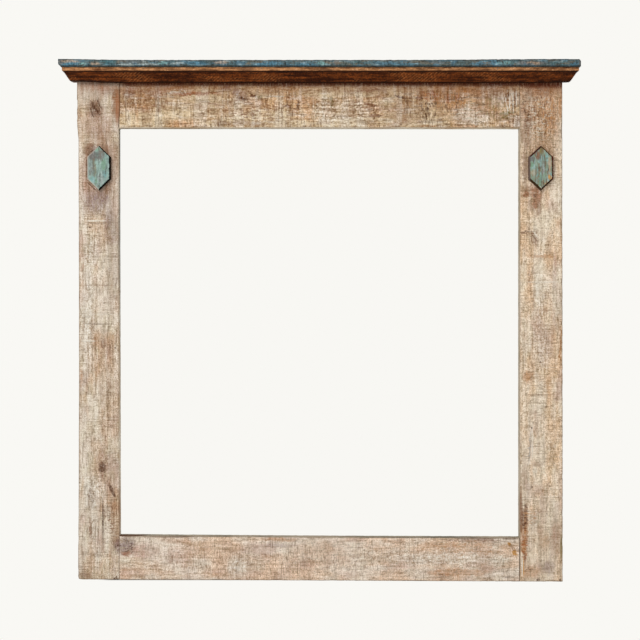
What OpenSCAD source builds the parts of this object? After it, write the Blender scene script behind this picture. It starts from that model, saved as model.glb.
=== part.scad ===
// Wall mirror in a frame of flat boards, with a small crown and two pointed hexagons on the uprights.
// Millimetres, +Z up, front towards -Y. The origin is the middle of the bottom edge of the boards' back.

/* [Frame boards] */
// Width of each upright board
stile_w = 90; // [75:1:130]
// Height of the bottom rail
rail_bottom_w = 95; // [80:1:130]
// Height of the top rail, up to the underside of the crown board
rail_top_w = 128; // [110:1:180]
// Thickness of the four frame boards
board_t = 28; // [25:1:40]
// Width of the opening between the uprights
opening_w = 855; // [500:5:1200]
// Height of the opening between the rails
opening_h = 873; // [500:1:1400]

/* [Mirror recess] */
// Wood left in front of the mirror plate
lip_t = 12; // [8:0.5:14]
// How far the mirror plate runs in behind the boards
mirror_overlap = 10; // [6:0.5:14]
// Free space round the edge of the mirror plate
mirror_clearance = 2; // [1:0.25:3]
// Ledge beside the mirror recess that the back panel is screwed to
panel_ledge = 14; // [12:0.5:18]

/* [Mirror, battens and back panel] */
// Thickness of the mirror plate
mirror_t = 4; // [3:0.5:5]
// Thickness of the back panel
panel_t = 5; // [3:0.5:6]
// Free space round the edge of the back panel
panel_clearance = 1; // [0.5:0.25:2]
// Width of the battens that hold the mirror plate in
batten_w = 11; // [10:0.5:13]
// Length of the two blocks that the mirror plate stands on
setting_block_l = 50; // [30:1:80]
// Distance between the two blocks, middle to middle
setting_block_pitch = 440; // [200:5:440]

/* [Crown] */
// Thickness of the crown board
crown_board_t = 14; // [10:0.5:25]
// How far the crown board stands out past the uprights, at the front and at both ends
crown_overhang = 35; // [32:1:50]
// Height of the moulding under the crown board
moulding_h = 30; // [26:0.5:45]
// Height of the plain strip along the top of the moulding
fillet_h = 8.5; // [6:0.5:12]
// How far the plain strip stands out from the boards
fillet_out = 30; // [28:0.5:31]
// How far the slope stands out at its top
slope_out_top = 28; // [22:0.5:28]
// How far the slope stands out at its bottom
slope_out_bottom = 12; // [4:0.5:18]

/* [Hexagons] */
// Width of each hexagon
hexagon_w = 50; // [40:1:60]
// Height of each hexagon, point to point
hexagon_h = 96; // [80:1:120]
// Height of each of its two points
hexagon_point = 24; // [16:0.5:30]
// Thickness of each hexagon
hexagon_t = 9; // [6:0.5:12]
// Size of the bevel round its face
hexagon_bevel = 2.5; // [1:0.25:4]
// Distance from the underside of the crown board down to the middle of the hexagons
hexagon_drop = 212; // [180:1:300]

/* [Dowels] */
// Diameter of the corner dowels
dowel_d = 10; // [6:0.5:12]
// Length of the corner dowels
dowel_l = 60; // [40:1:80]
// Distance of the dowels from the edges of the rails
dowel_inset = 21; // [16:0.5:24]

/* [Nails and brads] */
// Diameter of the nails that hold the crown board
crown_nail_d = 2.4; // [1.6:0.1:3]
// Length of the nails that hold the crown board
crown_nail_l = 50; // [35:1:60]
// Distance between the nails along the crown
crown_nail_pitch = 250; // [120:5:250]
// Diameter of the brads that hold the moulding
moulding_brad_d = 1.8; // [1.2:0.1:2.4]
// Length of the brads that hold the moulding
moulding_brad_l = 48; // [40:1:52]
// Diameter of the brads that hold the battens
batten_brad_d = 1.6; // [1.2:0.1:2]
// Length of the brads that hold the battens
batten_brad_l = 20; // [16:1:25]
// Diameter of the pins that hold the hexagons
hexagon_pin_d = 1.4; // [1:0.1:2]
// Length of the pins that hold the hexagons
hexagon_pin_l = 20; // [14:1:24]
// Distance between the two pins of a hexagon
hexagon_pin_pitch = 44; // [20:1:50]
// How far the pin ends are sunk below the hexagon's face
hexagon_pin_sink = 0.5; // [0.5:0.1:1.5]

/* [Back panel screws] */
// Shank diameter of the back panel screws
panel_screw_d = 3.5; // [2.5:0.1:4]
// Length of the back panel screws under the head
panel_screw_l = 16; // [12:1:20]
// Screws along each side of the back panel
panel_screw_count = 4; // [3:1:6]
// Distance of the end screws from the corners of the opening
panel_screw_inset = 60; // [45:1:90]

/* [Hangers] */
// Width of the hanger strap
strap_w = 18; // [16:0.5:20]
// Length of the hanger strap below the ring's hinge
strap_l = 52; // [48:1:70]
// Thickness of the hanger strap
strap_t = 1.5; // [1:0.1:1.8]
// Width of the knuckle that holds the ring
knuckle_w = 14; // [10:0.5:16]
// Wall of the knuckle round the ring's bar
knuckle_wall = 1.5; // [1:0.1:2]
// Diameter of the ring's wire
ring_wire_d = 3.5; // [3:0.1:4]
// Width of the ring, middle to middle of its legs
ring_w = 25.5; // [24:0.5:32]
// Length of the straight legs of the ring
ring_leg = 5; // [3:0.5:8]
// Radial play between the ring's bar and the knuckle
ring_play = 0.05; // [0.02:0.01:0.1]
// Gap between the hanging ring and the strap behind it
ring_strap_gap = 0.35; // [0.3:0.05:0.6]
// Distance from the ring's hinge to the upper screw of the strap
strap_screw_drop = 26; // [25:0.5:30]
// Distance between the two screws of the strap
strap_screw_pitch = 16; // [12:0.5:17]
// Shank diameter of the strap screws
strap_screw_d = 4; // [3:0.1:4.5]
// Length of the strap screws under the head
strap_screw_l = 18; // [14:1:20]
// Height of the ring's hinge below the underside of the crown board
hanger_drop = 200; // [150:1:350]

/* [Wall bumpers] */
// Diameter of the rubber bumpers
bumper_d = 20; // [14:1:26]
// Thickness of the rubber bumpers
bumper_t = 8; // [7:0.5:12]
// Height of the bumpers above the bottom edge
bumper_z = 40; // [20:1:100]

/* [Hidden] */
$fn = 48;

// Glue film or driving play round a dowel, nail or screw, on the radius and at its end
fit_gap = 0.1;
// How far a cutting shape runs past the face that it opens
cut = 1;
// Length of the point of a nail, brad or screw
tip = 3;
// Rounding of the dowel ends, cut as a chamfer
dowel_chamfer = 1;
// Chamfer round the free face of a bumper
bumper_chamfer = 1.5;
// How much wider than its shank a screw head is on the radius, and its height
screw_head_rim = 2.2;
screw_head_h = 2.2;
// Width and depth of the cross in a screw head
screw_cross_w = 0.9;
screw_cross_d = 1.2;
// How much larger the ring's corner is than its wire, so that bar and leg run into it
ring_corner_swell = 0.1;

frame_w = opening_w + 2 * stile_w;
opening_top = rail_bottom_w + opening_h;
stile_h = opening_top + rail_top_w;
stile_x = (opening_w + stile_w) / 2;
mid_y = -board_t / 2;

mirror_step = mirror_overlap + mirror_clearance;
panel_step = mirror_step + panel_ledge;
mirror_front_y = -board_t + lip_t;
mirror_back_y = mirror_front_y + mirror_t;
panel_front_y = -panel_t;
batten_y = (mirror_back_y + panel_front_y) / 2;
panel_screw_step = mirror_step + panel_ledge / 2;

moulding_z = stile_h - moulding_h;
slope_h = moulding_h - fillet_h;
crown_top_z = stile_h + crown_board_t;
hexagon_z = stile_h - hexagon_drop;

hanger_x = (opening_w / 2 + panel_step + frame_w / 2) / 2;
hanger_z = stile_h - hanger_drop;
ring_r = ring_wire_d / 2;
ring_bore_r = ring_r + ring_play;
knuckle_r = ring_bore_r + knuckle_wall;
ring_y = strap_t + ring_strap_gap + ring_r;

// Heights of the dowels, kept clear of the mirror recess
dowel_zs = [
    dowel_inset,
    rail_bottom_w - mirror_step - dowel_inset,
    opening_top + mirror_step + dowel_inset,
    stile_h - dowel_inset
];

// Section of the moulding as [distance out from the boards, height above its underside]
moulding_section = [
    [0, 0], [slope_out_bottom, 0], [slope_out_top, slope_h],
    [fillet_out, slope_h], [fillet_out, moulding_h], [0, moulding_h]
];

// Outline of a hexagon about its middle, anticlockwise from its top point
hexagon_outline = [
    [0, hexagon_h / 2],
    [-hexagon_w / 2, hexagon_h / 2 - hexagon_point],
    [-hexagon_w / 2, -hexagon_h / 2 + hexagon_point],
    [0, -hexagon_h / 2],
    [hexagon_w / 2, -hexagon_h / 2 + hexagon_point],
    [hexagon_w / 2, hexagon_h / 2 - hexagon_point]
];

// Places of the screws along one side of the back panel, from the middle of the opening
function screw_places(span) = [
    for (i = [0 : panel_screw_count - 1])
        (i / (panel_screw_count - 1) - 0.5) * (span - 2 * panel_screw_inset)
];

// Places half way between neighbouring screws
function between(places) = [
    for (i = [0 : len(places) - 2]) (places[i] + places[i + 1]) / 2
];

// Block between two opposite corners
module block(low, high) {
    translate(low) cube(high - low);
}

// Children once on the left and once, mirrored, on the right
module both_sides() {
    for (side = [0, 1]) mirror([1 - side, 0, 0]) children();
}

// Nail, brad or pin: its head end at the origin, its point down -Z
module nail(d, l, gap = 0) {
    rotate_extrude()
        polygon([[0, 0], [d / 2 + gap, 0], [d / 2 + gap, -l + tip], [0, -l - gap]]);
}

// Hole for a nail or screw, open past the face at the origin
module nail_hole(d, l) {
    nail(d, l, fit_gap);
    cylinder(r = d / 2 + fit_gap, h = cut);
}

// Pan-head screw: the underside of its head at the origin, its point down -Z
module pan_screw(d, l) {
    head_r = d / 2 + screw_head_rim;
    difference() {
        rotate_extrude()
            polygon([
                [0, -l], [d / 2, -l + tip], [d / 2, 0], [head_r, 0],
                [head_r, screw_head_h / 2], [head_r - screw_head_h / 2, screw_head_h],
                [0, screw_head_h]
            ]);
        for (turn = [0, 90])
            rotate([0, 0, turn])
                translate([-head_r / 2, -screw_cross_w / 2, screw_head_h - screw_cross_d])
                    cube([head_r, screw_cross_w, screw_cross_d + cut]);
    }
}

// Fasteners. Each module places its children at every place of one kind of fastener, with the
// head end towards the child's +Z, so that solids and holes share their places.

module at_dowels() {
    for (side = [-1, 1], z = dowel_zs)
        translate([side * opening_w / 2, mid_y, z]) rotate([0, 90, 0]) children();
}

module at_crown_nails() {
    for (x = [-stile_x, -crown_nail_pitch, 0, crown_nail_pitch, stile_x])
        translate([x, mid_y, crown_top_z]) children();
}

module at_moulding_brads() {
    z = stile_h - fillet_h / 2;
    for (i = [-1.5 : 1.5])
        translate([i * crown_nail_pitch, -board_t - fillet_out, z]) rotate([90, 0, 0]) children();
    both_sides() translate([frame_w / 2 + fillet_out, mid_y, z]) rotate([0, 90, 0]) children();
}

module at_batten_brads() {
    inner = mirror_step - batten_w;
    middle_z = rail_bottom_w + opening_h / 2;
    for (z = between(screw_places(opening_h)))
        both_sides()
            translate([opening_w / 2 + inner, batten_y, middle_z + z])
                rotate([0, -90, 0]) children();
    for (x = between(screw_places(opening_w))) {
        translate([x, batten_y, opening_top + inner]) rotate([180, 0, 0]) children();
        translate([x, batten_y, rail_bottom_w - inner]) children();
    }
}

module at_back_panel_screws() {
    middle_z = rail_bottom_w + opening_h / 2;
    for (z = screw_places(opening_h))
        both_sides()
            translate([opening_w / 2 + panel_screw_step, 0, middle_z + z])
                rotate([-90, 0, 0]) children();
    for (x = screw_places(opening_w), z = [rail_bottom_w - panel_screw_step, opening_top + panel_screw_step])
        translate([x, 0, z]) rotate([-90, 0, 0]) children();
}

module at_hexagon_pins() {
    for (side = [-1, 1], end = [-0.5, 0.5])
        translate([side * stile_x, -board_t - hexagon_t + hexagon_pin_sink,
                   hexagon_z + end * hexagon_pin_pitch])
            rotate([90, 0, 0]) children();
}

module at_hanger_screws() {
    for (side = [-1, 1], i = [0, 1])
        translate([side * hanger_x, strap_t, hanger_z - strap_screw_drop - i * strap_screw_pitch])
            rotate([-90, 0, 0]) children();
}

// Frame boards

// Two steps cut into the back of the boards: a deep one for the mirror, a shallow one for the panel
module mirror_recess() {
    block([-opening_w / 2 - mirror_step, mirror_front_y, rail_bottom_w - mirror_step],
          [opening_w / 2 + mirror_step, cut, opening_top + mirror_step]);
    block([-opening_w / 2 - panel_step, panel_front_y, rail_bottom_w - panel_step],
          [opening_w / 2 + panel_step, cut, opening_top + panel_step]);
}

// Holes in the frame boards for everything that is glued or driven into them
module board_holes() {
    at_dowels()
        cylinder(r = dowel_d / 2 + fit_gap, h = dowel_l + 2 * fit_gap, center = true);
    at_crown_nails() nail_hole(crown_nail_d, crown_nail_l);
    at_moulding_brads() nail_hole(moulding_brad_d, moulding_brad_l);
    at_batten_brads() nail_hole(batten_brad_d, batten_brad_l);
    at_back_panel_screws() nail_hole(panel_screw_d, panel_screw_l);
}

module stile() {
    difference() {
        block([opening_w / 2, -board_t, 0], [frame_w / 2, 0, stile_h]);
        mirror_recess();
        board_holes();
        at_hexagon_pins() nail_hole(hexagon_pin_d, hexagon_pin_l);
        at_hanger_screws() nail_hole(strap_screw_d, strap_screw_l);
    }
}

module rail(bottom_z, top_z) {
    difference() {
        block([-opening_w / 2, -board_t, bottom_z], [opening_w / 2, 0, top_z]);
        mirror_recess();
        board_holes();
    }
}

module stile_left() {
    color("#c7ad93") mirror([1, 0, 0]) stile();
}

module stile_right() {
    color("#c4aa8c") stile();
}

module rail_top() {
    color("#c9b091") rail(opening_top, stile_h);
}

module rail_bottom() {
    color("#c4ab8a") rail(0, rail_bottom_w);
}

module corner_dowels() {
    color("#d9bd8f")
        at_dowels()
            rotate_extrude()
                polygon([
                    [0, -dowel_l / 2],
                    [dowel_d / 2 - dowel_chamfer, -dowel_l / 2],
                    [dowel_d / 2, -dowel_l / 2 + dowel_chamfer],
                    [dowel_d / 2, dowel_l / 2 - dowel_chamfer],
                    [dowel_d / 2 - dowel_chamfer, dowel_l / 2],
                    [0, dowel_l / 2]
                ]);
}

// Crown

module crown_board() {
    color("#5f8a99")
        difference() {
            block([-frame_w / 2 - crown_overhang, -board_t - crown_overhang, stile_h],
                  [frame_w / 2 + crown_overhang, 0, crown_top_z]);
            at_crown_nails() nail_hole(crown_nail_d, crown_nail_l);
        }
}

module crown_nails() {
    color("#6b6a68") at_crown_nails() nail(crown_nail_d, crown_nail_l);
}

// Strip of moulding along the front, with both ends cut to a mitre
module moulding_front() {
    reach = frame_w / 2 + fillet_out;
    color("#7a3d1c")
        difference() {
            intersection() {
                translate([0, -board_t, moulding_z])
                    rotate([90, 0, -90])
                        linear_extrude(2 * reach, center = true) polygon(moulding_section);
                translate([0, 0, moulding_z - cut])
                    linear_extrude(moulding_h + 2 * cut)
                        polygon([
                            [-frame_w / 2, -board_t], [frame_w / 2, -board_t],
                            [reach, -board_t - fillet_out], [-reach, -board_t - fillet_out]
                        ]);
            }
            at_moulding_brads() nail_hole(moulding_brad_d, moulding_brad_l);
        }
}

// Short strip of moulding along the right end, with its front cut to a mitre
module moulding_return() {
    reach = frame_w / 2 + fillet_out;
    difference() {
        intersection() {
            translate([frame_w / 2, 0, moulding_z])
                rotate([90, 0, 0])
                    linear_extrude(board_t + fillet_out) polygon(moulding_section);
            translate([0, 0, moulding_z - cut])
                linear_extrude(moulding_h + 2 * cut)
                    polygon([
                        [frame_w / 2, 0], [reach, 0],
                        [reach, -board_t - fillet_out], [frame_w / 2, -board_t]
                    ]);
        }
        at_moulding_brads() nail_hole(moulding_brad_d, moulding_brad_l);
    }
}

module moulding_return_left() {
    color("#733818") mirror([1, 0, 0]) moulding_return();
}

module moulding_return_right() {
    color("#733818") moulding_return();
}

module moulding_brads() {
    color("#6b6a68") at_moulding_brads() nail(moulding_brad_d, moulding_brad_l);
}

// Hexagons on the uprights

// Hexagon on the right upright, bevelled round its face
module hexagon() {
    difference() {
        translate([stile_x, -board_t, hexagon_z])
            rotate([90, 0, 0])
                difference() {
                    linear_extrude(hexagon_t) polygon(hexagon_outline);
                    for (i = [0 : 5]) {
                        from = hexagon_outline[i];
                        edge = hexagon_outline[(i + 1) % 6] - from;
                        translate([from[0], from[1], hexagon_t - hexagon_bevel])
                            rotate([45, 0, atan2(edge[1], edge[0])])
                                translate([-hexagon_h, -hexagon_h, 0]) cube(2 * hexagon_h);
                    }
                }
        at_hexagon_pins() nail_hole(hexagon_pin_d, hexagon_pin_l);
    }
}

module hexagon_left() {
    color("#7fa398") mirror([1, 0, 0]) hexagon();
}

module hexagon_right() {
    color("#7a9c88") hexagon();
}

module hexagon_pins() {
    color("#6b6a68") at_hexagon_pins() nail(hexagon_pin_d, hexagon_pin_l);
}

// Mirror and what holds it

module mirror_plate() {
    color("#dfe5e6")
        block([-opening_w / 2 - mirror_overlap, mirror_front_y, rail_bottom_w - mirror_overlap],
              [opening_w / 2 + mirror_overlap, mirror_back_y, opening_top + mirror_overlap]);
}

// Two blocks under the mirror plate, which keep it off the wood
module setting_blocks() {
    color("#3b3a38")
        for (side = [-1, 1])
            translate([side * setting_block_pitch / 2, 0, 0])
                block([-setting_block_l / 2, mirror_front_y, rail_bottom_w - mirror_step],
                      [setting_block_l / 2, mirror_back_y, rail_bottom_w - mirror_overlap]);
}

module batten_side() {
    difference() {
        block([opening_w / 2 + mirror_step - batten_w, mirror_back_y, rail_bottom_w - mirror_step],
              [opening_w / 2 + mirror_step, panel_front_y, opening_top + mirror_step]);
        at_batten_brads() nail_hole(batten_brad_d, batten_brad_l);
    }
}

// Batten along a rail, between the two side battens
module batten_across(bottom_z) {
    reach = opening_w / 2 + mirror_step - batten_w;
    difference() {
        block([-reach, mirror_back_y, bottom_z], [reach, panel_front_y, bottom_z + batten_w]);
        at_batten_brads() nail_hole(batten_brad_d, batten_brad_l);
    }
}

module batten_left() {
    color("#d8c19a") mirror([1, 0, 0]) batten_side();
}

module batten_right() {
    color("#d8c19a") batten_side();
}

module batten_top() {
    color("#d8c19a") batten_across(opening_top + mirror_step - batten_w);
}

module batten_bottom() {
    color("#d8c19a") batten_across(rail_bottom_w - mirror_step);
}

module batten_brads() {
    color("#6b6a68") at_batten_brads() nail(batten_brad_d, batten_brad_l);
}

module back_panel() {
    edge = panel_step - panel_clearance;
    color("#8a6a48")
        difference() {
            block([-opening_w / 2 - edge, panel_front_y, rail_bottom_w - edge],
                  [opening_w / 2 + edge, 0, opening_top + edge]);
            at_back_panel_screws() nail_hole(panel_screw_d, panel_screw_l);
        }
}

module back_panel_screws() {
    color("#b9a26a") at_back_panel_screws() pan_screw(panel_screw_d, panel_screw_l);
}

// Hangers on the back of the uprights

// Strap with a rolled knuckle at its top, on the right upright
module hanger_strap() {
    translate([hanger_x, 0, hanger_z])
        difference() {
            union() {
                translate([0, strap_t, 0])
                    rotate([90, 0, 0])
                        linear_extrude(strap_t) {
                            translate([-strap_w / 2, -strap_l + strap_w / 2])
                                square([strap_w, strap_l - strap_w / 2]);
                            translate([0, -strap_l + strap_w / 2]) circle(d = strap_w);
                        }
                block([-knuckle_w / 2, 0, -knuckle_r], [knuckle_w / 2, ring_y, 0]);
                translate([0, ring_y, 0])
                    rotate([0, 90, 0]) cylinder(r = knuckle_r, h = knuckle_w, center = true);
            }
            translate([0, ring_y, 0])
                rotate([0, 90, 0])
                    cylinder(r = ring_bore_r, h = knuckle_w + 2 * cut, center = true);
            for (i = [0, 1])
                translate([0, strap_t, -strap_screw_drop - i * strap_screw_pitch])
                    rotate([-90, 0, 0]) nail_hole(strap_screw_d, strap_screw_l);
        }
}

// D-shaped ring that hangs down from its bar in the knuckle, on the right upright
module hanger_ring() {
    translate([hanger_x, ring_y, hanger_z]) {
        rotate([0, 90, 0]) cylinder(r = ring_r, h = ring_w, center = true);
        for (side = [-1, 1])
            translate([side * ring_w / 2, 0, 0]) {
                sphere(r = ring_r + ring_corner_swell);
                translate([0, 0, -ring_leg]) cylinder(r = ring_r, h = ring_leg);
            }
        translate([0, 0, -ring_leg])
            rotate([-90, 0, 0])
                rotate_extrude(angle = 180) translate([ring_w / 2, 0]) circle(r = ring_r);
    }
}

module hanger_strap_left() {
    color("#b8b3a8") mirror([1, 0, 0]) hanger_strap();
}

module hanger_strap_right() {
    color("#b8b3a8") hanger_strap();
}

module hanger_ring_left() {
    color("#aaa598") mirror([1, 0, 0]) hanger_ring();
}

module hanger_ring_right() {
    color("#aaa598") hanger_ring();
}

module hanger_screws() {
    color("#b9a26a") at_hanger_screws() pan_screw(strap_screw_d, strap_screw_l);
}

// Rubber bumper near the bottom of the right upright, which keeps the frame level with its hangers
module bumper() {
    translate([hanger_x, 0, bumper_z])
        rotate([-90, 0, 0])
            rotate_extrude()
                polygon([
                    [0, 0], [bumper_d / 2, 0], [bumper_d / 2, bumper_t - bumper_chamfer],
                    [bumper_d / 2 - bumper_chamfer, bumper_t], [0, bumper_t]
                ]);
}

module bumper_left() {
    color("#3a3836") mirror([1, 0, 0]) bumper();
}

module bumper_right() {
    color("#3a3836") bumper();
}

stile_left();
stile_right();
rail_top();
rail_bottom();
corner_dowels();
crown_board();
crown_nails();
moulding_front();
moulding_return_left();
moulding_return_right();
moulding_brads();
hexagon_left();
hexagon_right();
hexagon_pins();
mirror_plate();
setting_blocks();
batten_left();
batten_right();
batten_top();
batten_bottom();
batten_brads();
back_panel();
back_panel_screws();
hanger_strap_left();
hanger_strap_right();
hanger_ring_left();
hanger_ring_right();
hanger_screws();
bumper_left();
bumper_right();
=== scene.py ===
"""Looks of a wall mirror in a whitewashed board frame, with a small crown and two painted hexagons.

Metres, +Z up, front towards -Y. The origin is the middle of the bottom edge of the boards' back.
"""

from __future__ import annotations

import logging
import math
import random
from collections.abc import Callable, Iterable, Mapping, Sequence
from dataclasses import dataclass
from enum import Enum
from functools import cached_property, reduce
from types import SimpleNamespace
from typing import Any, Union

import bmesh
import bpy
from mathutils import Matrix, Vector, noise


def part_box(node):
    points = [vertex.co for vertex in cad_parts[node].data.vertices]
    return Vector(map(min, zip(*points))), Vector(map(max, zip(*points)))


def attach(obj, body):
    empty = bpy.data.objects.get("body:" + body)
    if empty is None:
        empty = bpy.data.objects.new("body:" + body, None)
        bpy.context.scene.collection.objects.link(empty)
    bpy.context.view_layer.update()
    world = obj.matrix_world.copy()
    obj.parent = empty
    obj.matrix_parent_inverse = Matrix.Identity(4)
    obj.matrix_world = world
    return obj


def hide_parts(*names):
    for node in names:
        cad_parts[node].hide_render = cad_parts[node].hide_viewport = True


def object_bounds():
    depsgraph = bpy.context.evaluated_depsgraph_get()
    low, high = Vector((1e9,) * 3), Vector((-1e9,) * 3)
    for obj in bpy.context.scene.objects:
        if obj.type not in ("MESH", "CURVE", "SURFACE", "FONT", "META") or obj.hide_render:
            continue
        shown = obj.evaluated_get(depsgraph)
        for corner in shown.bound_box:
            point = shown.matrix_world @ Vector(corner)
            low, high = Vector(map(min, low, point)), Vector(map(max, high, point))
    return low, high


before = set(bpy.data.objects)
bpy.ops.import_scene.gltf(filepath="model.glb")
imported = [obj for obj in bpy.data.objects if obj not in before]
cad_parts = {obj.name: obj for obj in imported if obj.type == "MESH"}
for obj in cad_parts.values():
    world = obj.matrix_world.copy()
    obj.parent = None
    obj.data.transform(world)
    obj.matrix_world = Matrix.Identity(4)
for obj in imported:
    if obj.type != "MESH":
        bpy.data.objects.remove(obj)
CAD_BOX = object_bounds()

LOG = logging.getLogger("mirror_frame")
MM = 0.001
BODY = "frame"
TOUCHING = 1e-4
SAME = 1e-6
AXES = (Vector((1.0, 0.0, 0.0)), Vector((0.0, 1.0, 0.0)), Vector((0.0, 0.0, 1.0)))
RIGHT, BACK, UP = AXES
LEFT, DOWN = -RIGHT, -UP

Colour = tuple[float, float, float, float]
Number = Union["Wire", float]
Triple = tuple[float, float, float]


def tone(code: str) -> Colour:
    """Turns a screen colour into the linear colour that a shader takes.

    Args:
        code: The colour as #rrggbb.

    Returns:
        Linear red, green, blue and full alpha.
    """
    channels = [int(code[i : i + 2], 16) / 255 for i in (1, 3, 5)]
    linear = [c / 12.92 if c <= 0.04045 else ((c + 0.055) / 1.055) ** 2.4 for c in channels]
    return (linear[0], linear[1], linear[2], 1.0)


# Shader tools


class Wire:
    """A value inside a material, on which arithmetic adds Math nodes."""

    def __init__(self, shader: Shader, socket: bpy.types.NodeSocket | None) -> None:
        """Wraps an output socket of a node in that shader."""
        self.shader = shader
        self.socket = socket

    def beside(self, name: str) -> Wire:
        """Another output of the same node."""
        return Wire(self.shader, self.socket.node.outputs[name])

    def _math(self, operation: str, *values: Number) -> Wire:
        """Adds one Math node with those inputs."""
        inputs = dict(zip(("Value", "Value_001"), values, strict=False))
        return self.shader.add("ShaderNodeMath", {"operation": operation}, inputs)

    def __add__(self, other: Number) -> Wire:
        """Sum."""
        return self._math("ADD", self, other)

    __radd__ = __add__

    def __sub__(self, other: Number) -> Wire:
        """Difference."""
        return self._math("SUBTRACT", self, other)

    def __rsub__(self, other: Number) -> Wire:
        """Difference with this value taken away."""
        return self._math("SUBTRACT", other, self)

    def __mul__(self, other: Number) -> Wire:
        """Product."""
        return self._math("MULTIPLY", self, other)

    __rmul__ = __mul__

    def __truediv__(self, other: Number) -> Wire:
        """Quotient."""
        return self._math("DIVIDE", self, other)

    def __abs__(self) -> Wire:
        """Size without sign."""
        return self._math("ABSOLUTE", self)

    def larger(self, other: Number) -> Wire:
        """The larger of this and another value."""
        return self._math("MAXIMUM", self, other)

    def smaller(self, other: Number) -> Wire:
        """The smaller of this and another value."""
        return self._math("MINIMUM", self, other)

    def wave(self) -> Wire:
        """Sine of this value."""
        return self._math("SINE", self)

    def ease(self, start: float, end: float, top: float = 1.0) -> Wire:
        """Turns the value into a soft-edged mask.

        Args:
            start: Value at which the mask is 0.
            end: Value at which the mask is full, above or below the start.
            top: The full mask.

        Returns:
            A mask from 0 to top.
        """
        return self.shader.add(
            "ShaderNodeMapRange",
            {"interpolation_type": "SMOOTHSTEP"},
            {"Value": self, "From Min": start, "From Max": end, "To Min": 0.0, "To Max": top},
        )


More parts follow.
